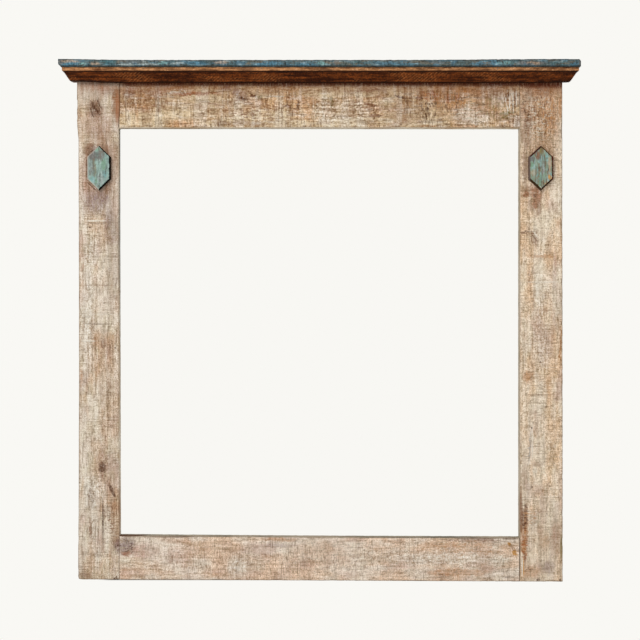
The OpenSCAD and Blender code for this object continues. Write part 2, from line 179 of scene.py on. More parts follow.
class Shader:
    """The node tree of one material or of the world."""

    def __init__(self, name: str, seed: float = 0.0, is_world: bool = False) -> None:
        """Starts an empty material or world.

        Args:
            name: Its name.
            seed: Shifts the patterns of all its noises.
            is_world: Whether it is a world.
        """
        self.owner = (bpy.data.worlds if is_world else bpy.data.materials).new(name)
        self.output = "ShaderNodeOutputWorld" if is_world else "ShaderNodeOutputMaterial"
        self.owner.use_nodes = True
        self.tree = self.owner.node_tree
        self.tree.nodes.clear()
        self.seed = seed

    def add(
        self,
        kind: str,
        settings: Mapping[str, Any] | None = None,
        values: Mapping[str, Any] | None = None,
        result: str = "",
    ) -> Wire:
        """Adds any node.

        Args:
            kind: The node's type.
            settings: Its properties, which are set first.
            values: Values or wires of its inputs, by identifier or name; a text is a screen colour.
            result: Identifier or name of the output to take, or the first one.

        Returns:
            The chosen output.
        """
        node = self.tree.nodes.new(kind)
        for key, value in (settings or {}).items():
            setattr(node, key, value)
        for key, value in (values or {}).items():
            socket = self._find(node.inputs, key)
            if isinstance(value, Wire):
                self.tree.links.new(value.socket, socket)
            else:
                socket.default_value = tone(value) if isinstance(value, str) else value
        chosen = self._find(node.outputs, result) if result else next(iter(node.outputs), None)
        return Wire(self, chosen)

    @staticmethod
    def _find(sockets: Any, key: str) -> bpy.types.NodeSocket:
        """Finds a socket by its identifier, or else by its name."""
        return next((socket for socket in sockets if socket.identifier == key), None) or sockets[key]

    @cached_property
    def place(self) -> Wire:
        """Object coordinates of the shaded point, in metres."""
        return self.add("ShaderNodeTexCoord", result="Object")

    @cached_property
    def axes(self) -> tuple[Wire, Wire, Wire]:
        """X, Y and Z of the shaded point."""
        x = self.add("ShaderNodeSeparateXYZ", values={"Vector": self.place}, result="X")
        return x, x.beside("Y"), x.beside("Z")

    @cached_property
    def flat(self) -> Wire:
        """The shaded point with its depth set to 0."""
        return self.join(self.axes[0], 0.0, self.axes[2])

    def join(self, x: Number, y: Number, z: Number) -> Wire:
        """Puts a vector together from X, Y and Z."""
        return self.add("ShaderNodeCombineXYZ", values={"X": x, "Y": y, "Z": z})

    def attribute(self, name: str) -> Wire:
        """Value of the piece's own attribute."""
        return self.add("ShaderNodeAttribute", {"attribute_name": name}, result="Fac")

    def vector_math(self, operation: str, *values: Any, result: str = "Vector") -> Wire:
        """Adds one Vector Math node.

        Args:
            operation: Blender's name of the operation.
            values: Its vector inputs, in order.
            result: The output to take.

        Returns:
            The node's result.
        """
        names = ("Vector", "Vector_001", "Vector_002")
        inputs = dict(zip(names, values, strict=False))
        return self.add("ShaderNodeVectorMath", {"operation": operation}, inputs, result)

    def length(self, vector: Wire) -> Wire:
        """Length of a vector."""
        return self.vector_math("LENGTH", vector, result="Value")

    def noise(
        self,
        size: float | Triple,
        detail: float = 2.0,
        rough: float = 0.6,
        step: float = 0.0,
        bend: float = 0.0,
        place: Wire | None = None,
        result: str = "Fac",
    ) -> Wire:
        """Cloudy noise with features of a given size.

        Args:
            size: Rough size of its features, or their sizes along X, Y and Z, in millimetres.
            detail: Layers of finer noise on top.
            rough: Share of each finer layer.
            step: Added to the shader's seed, for a pattern of its own.
            bend: How much it is distorted.
            place: Where it is read, or else at the shaded point.
            result: "Fac" for a value around 0.5, "Color" for three of them.

        Returns:
            The noise.
        """
        sizes = size if isinstance(size, tuple) else (size, size, size)
        scale = tuple(1 / (s * MM) for s in sizes)
        seed = self.seed + step
        shift = (seed, seed * 1.7, seed * 2.3)
        moved = self.vector_math("MULTIPLY_ADD", place or self.place, scale, shift)
        values = {
            "Vector": moved, "Scale": 1.0, "Detail": detail, "Roughness": rough, "Distortion": bend,
        }
        return self.add("ShaderNodeTexNoise", values=values, result=result)

    def shaken(
        self,
        point: Wire,
        reach: Triple,
        size: float | Triple,
        detail: float = 3.0,
        rough: float = 0.6,
        step: float = 0.0,
    ) -> Wire:
        """Moves a point about by noise.

        Args:
            point: The point.
            reach: How far it can move along X, Y and Z, from one side to the other.
            size: Size of the noise's features, in millimetres.
            detail: Layers of finer noise on top.
            rough: Share of each finer layer.
            step: Added to the shader's seed.

        Returns:
            The moved point.
        """
        drift = self.noise(size, detail, rough, step, result="Color")
        swing = self.vector_math("SUBTRACT", drift, (0.5, 0.5, 0.5))
        return self.vector_math("MULTIPLY_ADD", swing, reach, point)

    def lay(self, colour: Any, *coats: tuple[Any, Number]) -> Wire:
        """Lays colours over one another.

        Args:
            colour: The lowest colour.
            coats: Pairs of a colour and the mask where it shows, 0 to 1, the lowest first.

        Returns:
            The mixed colour.
        """
        for over, mask in coats:
            inputs = {"Factor_Float": mask, "A_Color": colour, "B_Color": over}
            colour = self.add("ShaderNodeMix", {"data_type": "RGBA"}, inputs, "Result_Color")
        return colour

    def shade(self, colour: Wire, *light: Wire) -> Wire:
        """Makes a colour lighter or darker by one factor around 1, or by three for its channels."""
        factors = light * 3 if len(light) == 1 else light
        return self.vector_math("MULTIPLY", colour, self.join(*factors))

    def bump(self, height: Wire, depth: float, strength: float = 0.8) -> Wire:
        """Relief from a height around 0 to 1, that deep in metres."""
        values = {"Height": height, "Distance": depth, "Strength": strength}
        return self.add("ShaderNodeBump", values=values)

    def finish(
        self,
        colour: Wire,
        roughness: Wire,
        relief: Wire | None = None,
        gloss: float = 0.5,
        metal: Number = 0.0,
    ) -> bpy.types.Material:
        """Adds the surface shader and the output.

        Args:
            colour: The base colour.
            roughness: The roughness.
            relief: The relief, where it has one.
            gloss: How strongly it reflects where it isn't metal.
            metal: How far it is bare metal, 0 to 1.

        Returns:
            The finished material.
        """
        values = {"Base Color": colour, "Roughness": roughness, "Metallic": metal}
        values["Specular IOR Level"] = gloss
        if relief:
            values["Normal"] = relief
        return self.close(self.add("ShaderNodeBsdfPrincipled", values=values))

    def close(self, surface: Wire) -> Any:
        """Adds the output and returns the finished material or world."""
        self.add(self.output, values={"Surface": surface})
        return self.owner


# Finishes


class Grain(Enum):
    """Direction of the grain of a piece of wood."""

    LEVEL = "level"
    UPRIGHT = "upright"

    def size(self, across: float, along: float) -> Triple:
        """Feature size along X, Y and Z from the sizes across and along the grain."""
        return (along, across, across) if self is Grain.LEVEL else (across, across, along)


class Tint(str, Enum):
    """Colours of the stains, knots, worn places and painted shadow lines on the boards."""

    CREAM = "#ddd1bd"
    WHITE = "#ebe3d5"
    TAN = "#bd9a78"
    HONEY = "#94623a"
    PINK = "#bf9a8a"
    RUST = "#a4643f"
    ORANGE = "#b8814f"
    GOLD = "#cc9550"
    BROWN = "#835a3f"
    BARK = "#53321e"
    PURPLE = "#83696a"
    BLUE_GREY = "#9fa5a9"
    OLIVE = "#83703f"
    TEAL = "#7aa5a3"
    GREEN = "#7d9f86"
    SLATE = "#6f6a66"
    BLUE = "#4f7a8e"
    DEEP_TEAL = "#3f6064"
    CHALK = "#a3adab"

    @property
    def is_pale(self) -> bool:
        """Whether the tint is lighter than the boards."""
        return self in (Tint.CREAM, Tint.WHITE, Tint.ORANGE, Tint.GOLD, Tint.PINK, Tint.TAN)


class Rim(Enum):
    """How the edge of a mark looks."""

    SOFT = "soft"
    TORN = "torn"
    CRISP = "crisp"
    OVER = "over"
    FLECKS = "flecks"
    STROKES = "strokes"

    @property
    def inner(self) -> float:
        """Where the mark is full, as a share of the way from its middle to its rim."""
        return {Rim.TORN: 0.5, Rim.CRISP: 0.65, Rim.OVER: 0.5}.get(self, 0.25)


@dataclass(frozen=True)
class Mark:
    """One stain, knot, scratch, nail hole, saw line or painted shadow line on the front of a board, in
    millimetres.

    x and z are its middle, wide and high half its size, turn its angle in degrees, anticlockwise
    as seen from the front, and dent how deep it is.
    """

    tint: Tint
    rim: Rim
    x: float
    z: float
    wide: float
    high: float
    strength: float
    turn: float = 0.0
    dent: float = 0.0

    def mask(self, shader: Shader, flat: Wire) -> Wire:
        """The mark's ellipse as a mask.

        Args:
            shader: The board's shader.
            flat: The shaded point with its depth set to 0.

        Returns:
            A mask from 0 to the mark's strength.
        """
        values = {
            "Vector": flat,
            "Location": (self.x * MM, 0.0, self.z * MM),
            "Rotation": (0.0, -math.radians(self.turn), 0.0),
            "Scale": (self.wide * MM, 1.0, self.high * MM),
        }
        local = shader.add("ShaderNodeMapping", {"vector_type": "TEXTURE"}, values)
        return shader.length(local).ease(1.0, self.rim.inner, self.strength)

    def depth_at(self, point: Vector) -> float:
        """Works out how deep the mark's dent is.

        Args:
            point: A point of the board's front.

        Returns:
            The depth there, in metres.
        """
        turn = math.radians(self.turn)
        x = point.x - self.x * MM
        z = point.z - self.z * MM
        u = (x * math.cos(turn) + z * math.sin(turn)) / (self.wide * MM)
        v = (z * math.cos(turn) - x * math.sin(turn)) / (self.high * MM)
        return self.dent * MM * max(0.0, 1 - u * u - v * v) ** 2


def marks(tint: Tint, rim: Rim, *shapes: tuple[float, ...]) -> tuple[Mark, ...]:
    """Makes the marks of one tint and rim.

    Args:
        tint: Their tint.
        rim: How their edges look.
        shapes: For each x, z, wide, high, strength and, where it has them, turn and dent.

    Returns:
        The marks.
    """
    return tuple(Mark(tint, rim, *shape) for shape in shapes)


def worn_spots(*spots: tuple) -> tuple[Mark, ...]:
    """Torn marks on paint in the order given, each from its tint and the shape as in marks()."""
    return tuple(Mark(tint, Rim.TORN, *shape) for tint, *shape in spots)


@dataclass(frozen=True)
class WhitewashedWood:
    """Rough-sawn wood under a worn whitewash, with the marks that its boards show and a band of dirt
    and painted shade under the crown.

    lined, sawn, straw, banded, contrast, patched and rusty say how strong those traits are, worn
    and sooted how much more of them there is than usual, and column is the width of the long
    streaks in millimetres.
    """

    name: str
    grain: Grain
    seed: float
    marks: tuple[Mark, ...]
    wash_warm: str
    wash_pale: str
    wash_straw: str = "#cbbf9b"
    bare: str = "#8b6242"
    reveal_light: str = "#ecdfcb"
    reveal_dark: str = "#c9ae8e"
    worn: float = 0.0
    lined: float = 1.0
    sawn: float = 0.8
    column: float = 16.0
    straw: float = 0.3
    banded: float = 0.6
    contrast: float = 1.0
    line: str = "#7a6450"
    fleck: str = "#eaddcb"
    sooted: float = 0.0
    patched: float = 0.24
    rusty: float = 0.5

    def material(self) -> bpy.types.Material:
        """Builds the material.

        Returns:
            The finished material.
        """
        shader = Shader(self.name, self.seed)
        x, _, z = shader.axes
        fine = self._noises(shader)
        front = fine.front
        colour = shader.lay(
            self.wash_warm,
            (self.wash_pale, fine.cloud.ease(0.38, 0.6)),
            (Tint.PINK, fine.pink.ease(0.48, 0.7, 0.5)),
            (Tint.ORANGE, fine.orange.ease(0.55, 0.76, self.rusty)),
            (self.wash_straw, fine.straw.ease(0.49, 0.64, self.straw)),
            (self.bare, front.ease(0.9, 0.0, 0.6)),
        )
        ragged = shader.shaken(shader.flat, (0.016, 0.0, 0.016), 9, step=11)
        for rim in (Rim.SOFT, Rim.TORN):
            colour = self._lay_marks(shader, colour, rim, ragged, fine)

        patched = self.patched
        colour = shader.lay(
            colour,
            (Tint.WHITE, fine.column.ease(0.52, 0.62, patched) * front),
            (self.bare, fine.column.ease(0.48, 0.38, patched)),
            (self.bare, fine.mottle.ease(0.5 - self.worn, 0.64 - self.worn, patched)),
            (Tint.WHITE, fine.glow.ease(0.53, 0.66, patched) * front),
        )
        zone = fine.zone.ease(0.45, 0.57)
        sooty = 0.8 + z.ease(0.86, 0.98) * self.sooted
        for lines, share, pale in (
            (fine.fibre, (1.0 - zone * 0.4) * sooty * self.lined, 0.3),
            (fine.saw, (zone * 0.75 + 0.25) * sooty * self.sawn, 0.18),
            (fine.dash, sooty * 0.75, 0.26),
        ):
            colour = shader.lay(
                colour,
                (self.line, lines.ease(0.47, 0.36, 0.6) * share),
                (self.fleck, lines.ease(0.54, 0.66, pale) * share * front),
            )
        pits = fine.pit.ease(0.39, 0.31) * (1.0 - zone * 0.6)
        group = (zone * 0.85 + 0.15) * self.banded * (0.4 + fine.speck * 1.2)
        colour = shader.lay(
            colour,
            (Tint.BARK, pits * 0.45),
            (self.line, fine.band.ease(0.44, 0.33, 0.5) * group),
            (self.fleck, fine.band.ease(0.58, 0.67, 0.42) * group * front),
        )
        lines = fine.fibre * 0.9 + fine.saw * 0.45 + fine.dash * 0.35
        relief = fine.speck * 0.55 + fine.grit * 1.4 + lines - 1.825
        calm = fine.cloud.ease(0.46, 0.6, 0.5)
        wave = relief * (1.2 - calm) * self.contrast * (sooty + 0.2)
        colour = shader.shade(colour, wave * 0.86 + 1.0, wave + 1.0, wave * 1.25 + 1.0)
        for rim in (Rim.FLECKS, Rim.STROKES, Rim.CRISP):
            colour = self._lay_marks(shader, colour, rim, shader.flat, fine)

        colour = self._dress_edges(shader, colour, fine)
        colour = self._lay_marks(shader, colour, Rim.OVER, shader.flat, fine)
        # Painted shade under the crown, mixed with dirt: a broad and a narrow reddish-brown band along
        # the top of the boards, weaker over the outer part of the left upright and reaching lower over
        # the right one.
        sheltered = (1.0 - x.ease(-0.42, -0.435, 0.7)) * front
        deeper = z + x.ease(0.42, 0.45, 0.004)
        broad_dirt_and_shade = (deeper + (fine.broken - 0.5) * 0.06).ease(1.03, 1.06, 0.5)
        narrow_dirt_and_shade = deeper.ease(1.055, 1.0655)
        colour = shader.lay(
            colour,
            ("#85502a", broad_dirt_and_shade * sheltered),
            ("#602a12", narrow_dirt_and_shade * sheltered * (fine.strokes * 2.2 - 0.2).smaller(1.0)),
        )
        cut = sum(self._union(shader, Rim.CRISP, tint, shader.flat) for tint in (Tint.BARK, Tint.BROWN))
        height = (
            fine.fibre * 0.35 + fine.saw * 0.3 + fine.speck * 0.5 + fine.grit * 0.12
            + fine.dash * 0.3 - cut * 0.6
        )
        relief = shader.bump(height, 0.0012)
        return shader.finish(colour, 0.72 + fine.speck * 0.25, relief, gloss=0.25)

    def _noises(self, shader: Shader) -> SimpleNamespace:
        """Adds the noises of the wash, the grain, the saw marks and the specks.

        Args:
            shader: The board's shader.

        Returns:
            The noises by name, and the mask of the front of the board.
        """
        size = self.grain.size
        patterns = {
            "fibre": (size(3.4, 62), 3.0, 0.65, 1),
            "streak": (size(8, 120), 3.0, 0.6, 2),
            "saw": (size(16, 3.0), 2.0, 0.7, 3),
            "dash": (size(4, 11), 2.0, 0.7, 4),
            "pit": (4.4, 2.0, 0.7, 14),
            "mottle": (size(11, 40), 3.0, 0.6, 5),
            "glow": (size(13, 55), 3.0, 0.6, 13),
            "column": ((self.column, 16, 230), 2.0, 0.6, 15),
            "zone": (55, 2.0, 0.6, 12),
            "speck": (4.4, 3.0, 0.75, 7),
            "grit": (2.7, 1.0, 0.7, 8),
            "flecks": ((8, 8, 2.7), 2.0, 0.6, 17),
            "strokes": ((2.7, 2.7, 11), 2.0, 0.6, 18),
            "band": (size(70, 2.7), 1.0, 0.6, 19),
            "cloud": (size(48, 120), 3.0, 0.6, 6),
            "pink": (size(36, 80), 2.0, 0.6, 9),
            "orange": (size(26, 80), 2.0, 0.6, 10),
            "straw": ((22, 22, 38), 3.0, 0.6, 16),
        }
        fine = SimpleNamespace(front=shader.axes[1].ease(-0.012, -0.026))
        wavy = shader.shaken(shader.place, (0.014, 0.01, 0.014), size(45, 160), 1.0, 0.55)
        for name, pattern in patterns.items():
            place = wavy if name in ("fibre", "streak", "saw", "dash", "column") else None
            setattr(fine, name, shader.noise(*pattern, place=place))
        fine.broken = fine.speck * 0.45 + fine.dash * 0.35 + fine.fibre * 0.2
        return fine

    def _union(self, shader: Shader, rim: Rim, tint: Tint, where: Wire) -> Number:
        """Joins the masks of all marks of one rim and tint.

        Args:
            shader: The board's shader.
            rim: The kind of rim.
            tint: The tint.
            where: The flattened point, plain or ragged.

        Returns:
            The joined mask, or 0 where the board has no such mark.
        """
        chosen = [mark for mark in self.marks if mark.rim is rim and mark.tint is tint]
        masks = (mark.mask(shader, where) for mark in chosen)
        return reduce(Wire.larger, masks) if chosen else 0.0

    def _lay_marks(
        self, shader: Shader, colour: Wire, rim: Rim, where: Wire, fine: SimpleNamespace
    ) -> Wire:
        """Lays the named marks of one kind of rim over the board's colour.

        Args:
            shader: The board's shader.
            colour: The colour so far.
            rim: The kind of rim.
            where: The flattened point, plain or ragged.
            fine: The noises, which break the marks up.

        Returns:
            The colour with those marks.
        """
        for tint in Tint:
            mask = self._union(shader, rim, tint, where)
            if not isinstance(mask, Wire):
                continue
            if rim in (Rim.FLECKS, Rim.STROKES):
                start, end = (0.53, 0.61) if tint.is_pale else (0.47, 0.39)
                mask = mask * getattr(fine, rim.value).ease(start, end)
            elif rim is Rim.SOFT:
                mask = mask * (0.4 + fine.broken.ease(0.36, 0.62, 0.85))
            elif rim is Rim.TORN:
                mask = mask * 1.15 * (fine.broken + mask * 0.3).ease(0.48, 0.7)
            elif rim is Rim.CRISP:
                mask = mask * (0.25 + fine.broken.ease(0.42, 0.55, 0.85))
            else:
                mask = mask * (0.4 + fine.grit * 1.2)
            colour = shader.lay(colour, (tint, (mask * fine.front).smaller(1.0)))
        return colour

    def _dress_edges(self, shader: Shader, colour: Wire, fine: SimpleNamespace) -> Wire:
        """Darkens the worn arrises and the open seams, and colours the reveals round the mirror.

        Args:
            shader: The board's shader.
            colour: The colour so far.
            fine: The noises.

        Returns:
            The colour with its edges.
        """
        arris, seam, reveal = (shader.attribute(name) for name in ("arris", "seam", "reveal"))
        grime = (arris * 1.1 + fine.speck * 0.8 - 0.65).ease(0.1, 0.8)
        gap = (seam * 1.3 + fine.speck * 0.8 - 0.75).ease(0.0, 0.5)
        cloudy = (fine.cloud * 0.6 + fine.streak * 0.4).ease(0.4, 0.58)
        bare = shader.lay(self.reveal_dark, (self.reveal_light, cloudy))
        shown = reveal.ease(0.25, 0.75, 0.92)
        return shader.lay(colour, ("#7d6650", grime * 0.6), ("#3c1f10", gap * 0.88), (bare, shown))


@dataclass(frozen=True)
class WornPaint:
    """Old paint, rubbed through to the wood in streaks along the grain."""

    name: str
    grain: Grain
    seed: float
    paint: tuple[str, str, str]
    wood: str
    dirt_and_shade: str
    rubbed: float
    marks: tuple[Mark, ...]
    specked: float
    hatched: float

    def material(self) -> bpy.types.Material:
        """Builds the material.

        Returns:
            The finished material.
        """
        shader = Shader(self.name, self.seed)
        size = self.grain.size
        fibre = shader.noise(size(3.6, 26), 3.0, 0.65)
        streak = shader.noise(size(7, 44), 3.0, step=1)
        patch = shader.noise(size(11, 24), 3.0, step=2, bend=0.2)
        cloud = shader.noise(size(16, 60), step=3)
        speck = shader.noise(4.2, 3.0, 0.75, step=4)
        hatch = shader.noise(size(13, 3.8), 2.0, 0.7, step=5)
        low, middle, high = self.paint
        colour = shader.lay(low, (middle, cloud.ease(0.42, 0.56)), (high, patch.ease(0.5, 0.6)))
        ragged = shader.shaken(shader.flat, (0.008, 0.0, 0.008), 6, step=6)
        broken = (fibre * 0.6 + speck * 0.4).ease(0.38, 0.52)
        for mark in self.marks:
            colour = shader.lay(colour, (mark.tint, mark.mask(shader, ragged) * broken))
        through = patch * 0.3 + streak * 0.5 + fibre * 0.6 + speck * 0.4
        gone = through.ease(0.9 + self.rubbed, 0.78 + self.rubbed)
        colour = shader.lay(
            colour,
            (self.wood, gone * 0.75),
            (self.dirt_and_shade, fibre.ease(0.43, 0.33, 0.6)),
            (Tint.CHALK, fibre.ease(0.56, 0.66, 0.45)),
        )
        level = 0.425 - self.specked / 2 - self.hatched / 2
        shading = speck * self.specked + hatch * self.hatched + fibre * 1.15 + level
        colour = shader.shade(colour, shading)
        height = fibre * 0.5 + streak * 0.3 + speck * 0.35 - gone * 0.35
        colour = self.edged(shader, colour, speck)
        return shader.finish(colour, 0.6 + height * 0.2, shader.bump(height, 0.0008), gloss=0.06)

    def edged(self, shader: Shader, colour: Wire, speck: Wire) -> Wire:
        """Darkens the worn arrises.

        Args:
            shader: The paint's shader.
            colour: The colour so far.
            speck: The fine noise of its specks.

        Returns:
            The colour with its edges.
        """
        grime = (shader.attribute("arris") * 1.1 + speck * 0.9 - 0.6).ease(0.2, 0.75)
        return shader.lay(colour, (self.dirt_and_shade, grime * 0.8))


@dataclass(frozen=True)
class Outline:
    """Width in millimetres of the line along one side of a hexagon, and its colour: pale for a painted
    highlight, dark for worn edges and painted shade.
    """

    width: float
    colour: str
    strength: float


@dataclass(frozen=True, kw_only=True)
class HexagonPaint(WornPaint):
    """Worn paint on a pointed hexagon, with a line of its own along each side, pale lines being painted
    highlights and dark lines partly painted shade, and painted shade on its sides.
    """

    shape: HexagonShape
    left: Outline
    right: Outline
    upper_left: Outline
    upper_right: Outline
    lower_left: Outline
    lower_right: Outline

    def edged(self, shader: Shader, colour: Wire, speck: Wire) -> Wire:
        """Draws the line along each side, pale ones as painted highlights and dark ones partly as
        painted shade, and paints shade with some dirt on the sides behind the face.

        Args:
            shader: The paint's shader.
            colour: The colour so far.
            speck: The fine noise of its specks.

        Returns:
            The colour with its edges.
        """
        x, y, z = shader.axes
        shape, middle = self.shape, self.shape.box.middle
        across, above = x - middle.x, z - middle.z
        side_gap = shape.half_width - abs(across)
        roof = shape.shoulder + shape.point
        roof_gap = (roof - abs(across) * shape.slope - abs(above)) / math.hypot(1.0, shape.slope)
        on_right = across.ease(-0.0004, 0.0004)
        on_top = above.ease(-0.0004, 0.0004)
        uneven = (speck - 0.5) * 0.004
        for outline, gap, where in (
            (self.upper_left, roof_gap, (1.0 - on_right) * on_top),
            (self.upper_right, roof_gap, on_right * on_top),
            (self.lower_left, roof_gap, (1.0 - on_right) * (1.0 - on_top)),
            (self.lower_right, roof_gap, on_right * (1.0 - on_top)),
            (self.left, side_gap, 1.0 - on_right),
            (self.right, side_gap, on_right),
        ):
            edge = (outline.width + 0.5) * MM
            mask = (gap + uneven).ease(edge, edge - 1.1 * MM, outline.strength)
            colour = shader.lay(colour, (outline.colour, mask * where))
        # Painted shade, with some dirt, on the hexagon's sides behind the front.
        front_y = shape.box.low.y
        return shader.lay(colour, (self.dirt_and_shade, y.ease(front_y + 0.0022, front_y + 0.0034, 0.85)))


@dataclass(frozen=True)
class StainedMoulding:
    """Dark stained wood with a paler top strip, rubbed and scratched in slanting groups, with painted
    shade lines under its top, under its strip and along its foot.
    """

    name: str
    seed: float
    strip_z: float
    foot_z: float
    top_z: float
    slope_dark: str = "#351302"
    slope_light: str = "#743a14"
    strip_dark: str = "#74462a"
    strip_light: str = "#c28a5c"
    scratch_pitch: float = 0.0056

    def material(self) -> bpy.types.Material:
        """Builds the material.

        Returns:
            The finished material.
        """
        shader = Shader(self.name, self.seed)
        x, _, z = shader.axes
        fibre = shader.noise((34, 1.3, 1.3), 3.0)
        streak = shader.noise((150, 6, 4.5), 3.0, step=1)
        cloud = shader.noise((110, 40, 40), step=2)
        speck = shader.noise(4.4, 3.0, 0.75, step=3)
        blotch = shader.noise((60, 30, 30), 2.0, 0.5, step=4)
        patch = shader.noise((16, 7, 5), 3.0, step=6)
        fleck = shader.noise(3.2, 2.0, 0.75, step=8)
        slant = (x * 0.72 - z) * (math.tau / self.scratch_pitch) + speck * 2.2
        hatch = slant.wave().ease(0.2, 0.9) * cloud.ease(0.5, 0.58) * speck.ease(0.3, 0.6)
        slope = shader.lay(
            self.slope_dark,
            (self.slope_light, (streak * 0.5 + cloud * 0.4 + patch * 0.4).ease(0.54, 0.76)),
            ("#a36f43", hatch * 0.36),
        )
        slope = shader.shade(slope, -1.75 + speck * 2.2 + fleck * 2.7 + fibre * 0.6)
        strip = shader.lay(
            self.strip_dark,
            (self.strip_light, (streak * 0.4 + fibre * 0.3 + patch * 0.3).ease(0.4, 0.57)),
            ("#d69f74", (patch * 0.6 + speck * 0.4).ease(0.54, 0.62, 0.7)),
            ("#4a2c22", blotch.ease(0.64, 0.74) * 0.6),
        )
        strip = shader.shade(strip, -0.25 + speck * 1.4 + fibre * 1.0)
        # Painted shade: dark lines under the top board, under the edge of the top strip and along the
        # foot of the slope.
        seam = z.ease(self.top_z - 0.0024, self.top_z - 0.0006)
        rise = x.ease(-0.42, -0.5, 0.003) + x.ease(0.45, 0.52, 0.0012)
        foot_shade = (z - rise).ease(self.foot_z + 0.0022, self.foot_z + 0.0004)
        throat_shade = abs(z - (self.strip_z - 0.0012)).ease(0.0024, 0.0006)
        rubbed = (shader.attribute("arris") + speck * 0.9 - 0.8).ease(0.15, 0.7)
        colour = shader.lay(
            slope,
            (strip, z.ease(self.strip_z - 0.0002, self.strip_z + 0.0006)),
            ("#241008", seam.larger(foot_shade).larger(throat_shade) * 0.8),
            ("#2a1206", fibre.ease(0.44, 0.34, 0.6)),
            ("#a87347", rubbed * 0.35),
        )
        height = fibre * 0.5 + speck * 0.3 - hatch * 0.3
        return shader.finish(colour, 0.6 + speck * 0.3, shader.bump(height, 0.0007), gloss=0.12)


@dataclass(frozen=True)
class PlainWood:
    """Planed wood without a finish."""

    name: str
    grain: Grain
    seed: float
    light: str = "#d9bc8d"
    dark: str = "#b58f5f"

    def material(self) -> bpy.types.Material:
        """Builds the material.

        Returns:
            The finished material.
        """
        shader = Shader(self.name, self.seed)
        fibre = shader.noise(self.grain.size(0.9, 25), 3.0)
        ring = shader.noise(self.grain.size(4, 140), 2.0, 0.5, step=1, bend=0.2)
        colour = shader.lay(self.dark, (self.light, ring.ease(0.38, 0.58)))
        colour = shader.shade(colour, 0.75 + fibre * 0.5)
        return shader.finish(colour, 0.62 + fibre * 0.2, shader.bump(fibre, 0.0003, 0.5), gloss=0.3)


@dataclass(frozen=True)
class FibreBoard:
    """Pressed brown fibre board, smooth with a fine mottle and a few scuffs."""

    name: str
    seed: float

    def material(self) -> bpy.types.Material:
        """Builds the material.

        Returns:
            The finished material.
        """
        shader = Shader(self.name, self.seed)
        fleck = shader.noise(1.6, 3.0, 0.7, bend=0.6)
        cloud = shader.noise(120, 3.0, 0.55, step=1)
        scuff = shader.noise((90, 5, 3), 3.0, 0.65, step=2, bend=0.5)
        colour = shader.lay(
            "#6d4a2f",
            ("#94704c", fleck.ease(0.3, 0.7)),
            ("#a98661", cloud.ease(0.4, 0.75, 0.3)),
            ("#b99a77", scuff.ease(0.64, 0.74, 0.5)),
        )
        return shader.finish(colour, 0.5 + fleck * 0.25, shader.bump(fleck, 0.0002, 0.5), gloss=0.35)


@dataclass(frozen=True)
class WornMetal:
    """Plated or bare steel, dulled and scratched."""

    name: str
    seed: float
    bright: str
    dull: str
    stain: str
    stained: float
    rough: float

    def material(self) -> bpy.types.Material:
        """Builds the material.

        Returns:
            The finished material.
        """
        shader = Shader(self.name, self.seed)
        cloud = shader.noise(4, 4.0, 0.65)
        fine = shader.noise((0.5, 0.5, 3.5), step=1)
        spot = shader.noise(1.8, 3.0, 0.7, step=2)
        tarnish = spot.ease(0.56, 0.72) * self.stained
        colour = shader.lay(self.dull, (self.bright, cloud.ease(0.35, 0.62)), (self.stain, tarnish))
        roughness = self.rough + fine * 0.2 + tarnish * 0.3
        relief = shader.bump(fine * 0.5 + spot * 0.5, 0.00006, 0.6)
        return shader.finish(colour, roughness, relief, metal=1.0 - tarnish)


@dataclass(frozen=True)
class Rubber:
    """Black rubber with a fine dull bloom."""

    name: str
    seed: float

    def material(self) -> bpy.types.Material:
        """Builds the material.

        Returns:
            The finished material.
        """
        shader = Shader(self.name, self.seed)
        bloom = shader.noise(5, 3.0)
        grit = shader.noise(0.5, step=1)
        colour = shader.lay("#2a2827", ("#4b4745", bloom.ease(0.4, 0.7)))
        return shader.finish(colour, 0.62 + bloom * 0.25, shader.bump(grit, 0.0001, 0.6), gloss=0.4)


@dataclass(frozen=True)
class SilveredGlass:
    """Mirror plate with a trace of green in the glass and a faint greyer rim."""

    name: str
    plate: Box
    seed: float = 3.0
    rim_width: float = 0.012

    def material(self) -> bpy.types.Material:
        """Builds the material.

        Returns:
            The finished material.
        """
        shader = Shader(self.name, self.seed)
        x, _, z = shader.axes
        half = self.plate.size / 2
        inside = (half.x - abs(x)).smaller(half.z - abs(z - self.plate.middle.z))
        film = shader.noise(160, 2.0, 0.5)
        rim = inside.ease(self.rim_width, 0.0)
        colour = shader.lay("#fefefe", ("#d9dfda", rim * 0.5))
        return shader.finish(colour, 0.004 + film * 0.012 + rim * 0.05, metal=1.0)


# Mesh tools


@dataclass(frozen=True)
class Box:
    """A block between its lowest and highest corner."""

    low: Vector
    high: Vector

    @classmethod
    def of_node(cls, node: str) -> Box:
        """The box that a CAD node fills."""
        return cls(*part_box(node))

    @property
    def middle(self) -> Vector:
        """The block's middle."""
        return (self.low + self.high) / 2

    @property
    def size(self) -> Vector:
        """The block's size along X, Y and Z."""
        return self.high - self.low

    def mesh(self) -> bmesh.types.BMesh:
        """Makes a mesh of the block.

        Returns:
            The new mesh.
        """
        bm = bmesh.new()
        scale = Matrix.Diagonal((*self.size, 1.0))
        bmesh.ops.create_cube(bm, size=1.0, matrix=Matrix.Translation(self.middle) @ scale)
        return bm

    def gaps(self, point: Vector) -> list[tuple[float, Vector]]:
        """Distances from a point to the six faces, nearest first.

        Args:
            point: A point in or on the block.

        Returns:
            Pairs of a distance and the face's outward direction.
        """
        found = []
        for axis, direction in enumerate(AXES):
            found.append((point[axis] - self.low[axis], -direction))
            found.append((self.high[axis] - point[axis], direction))
        return sorted(found, key=lambda gap: gap[0])


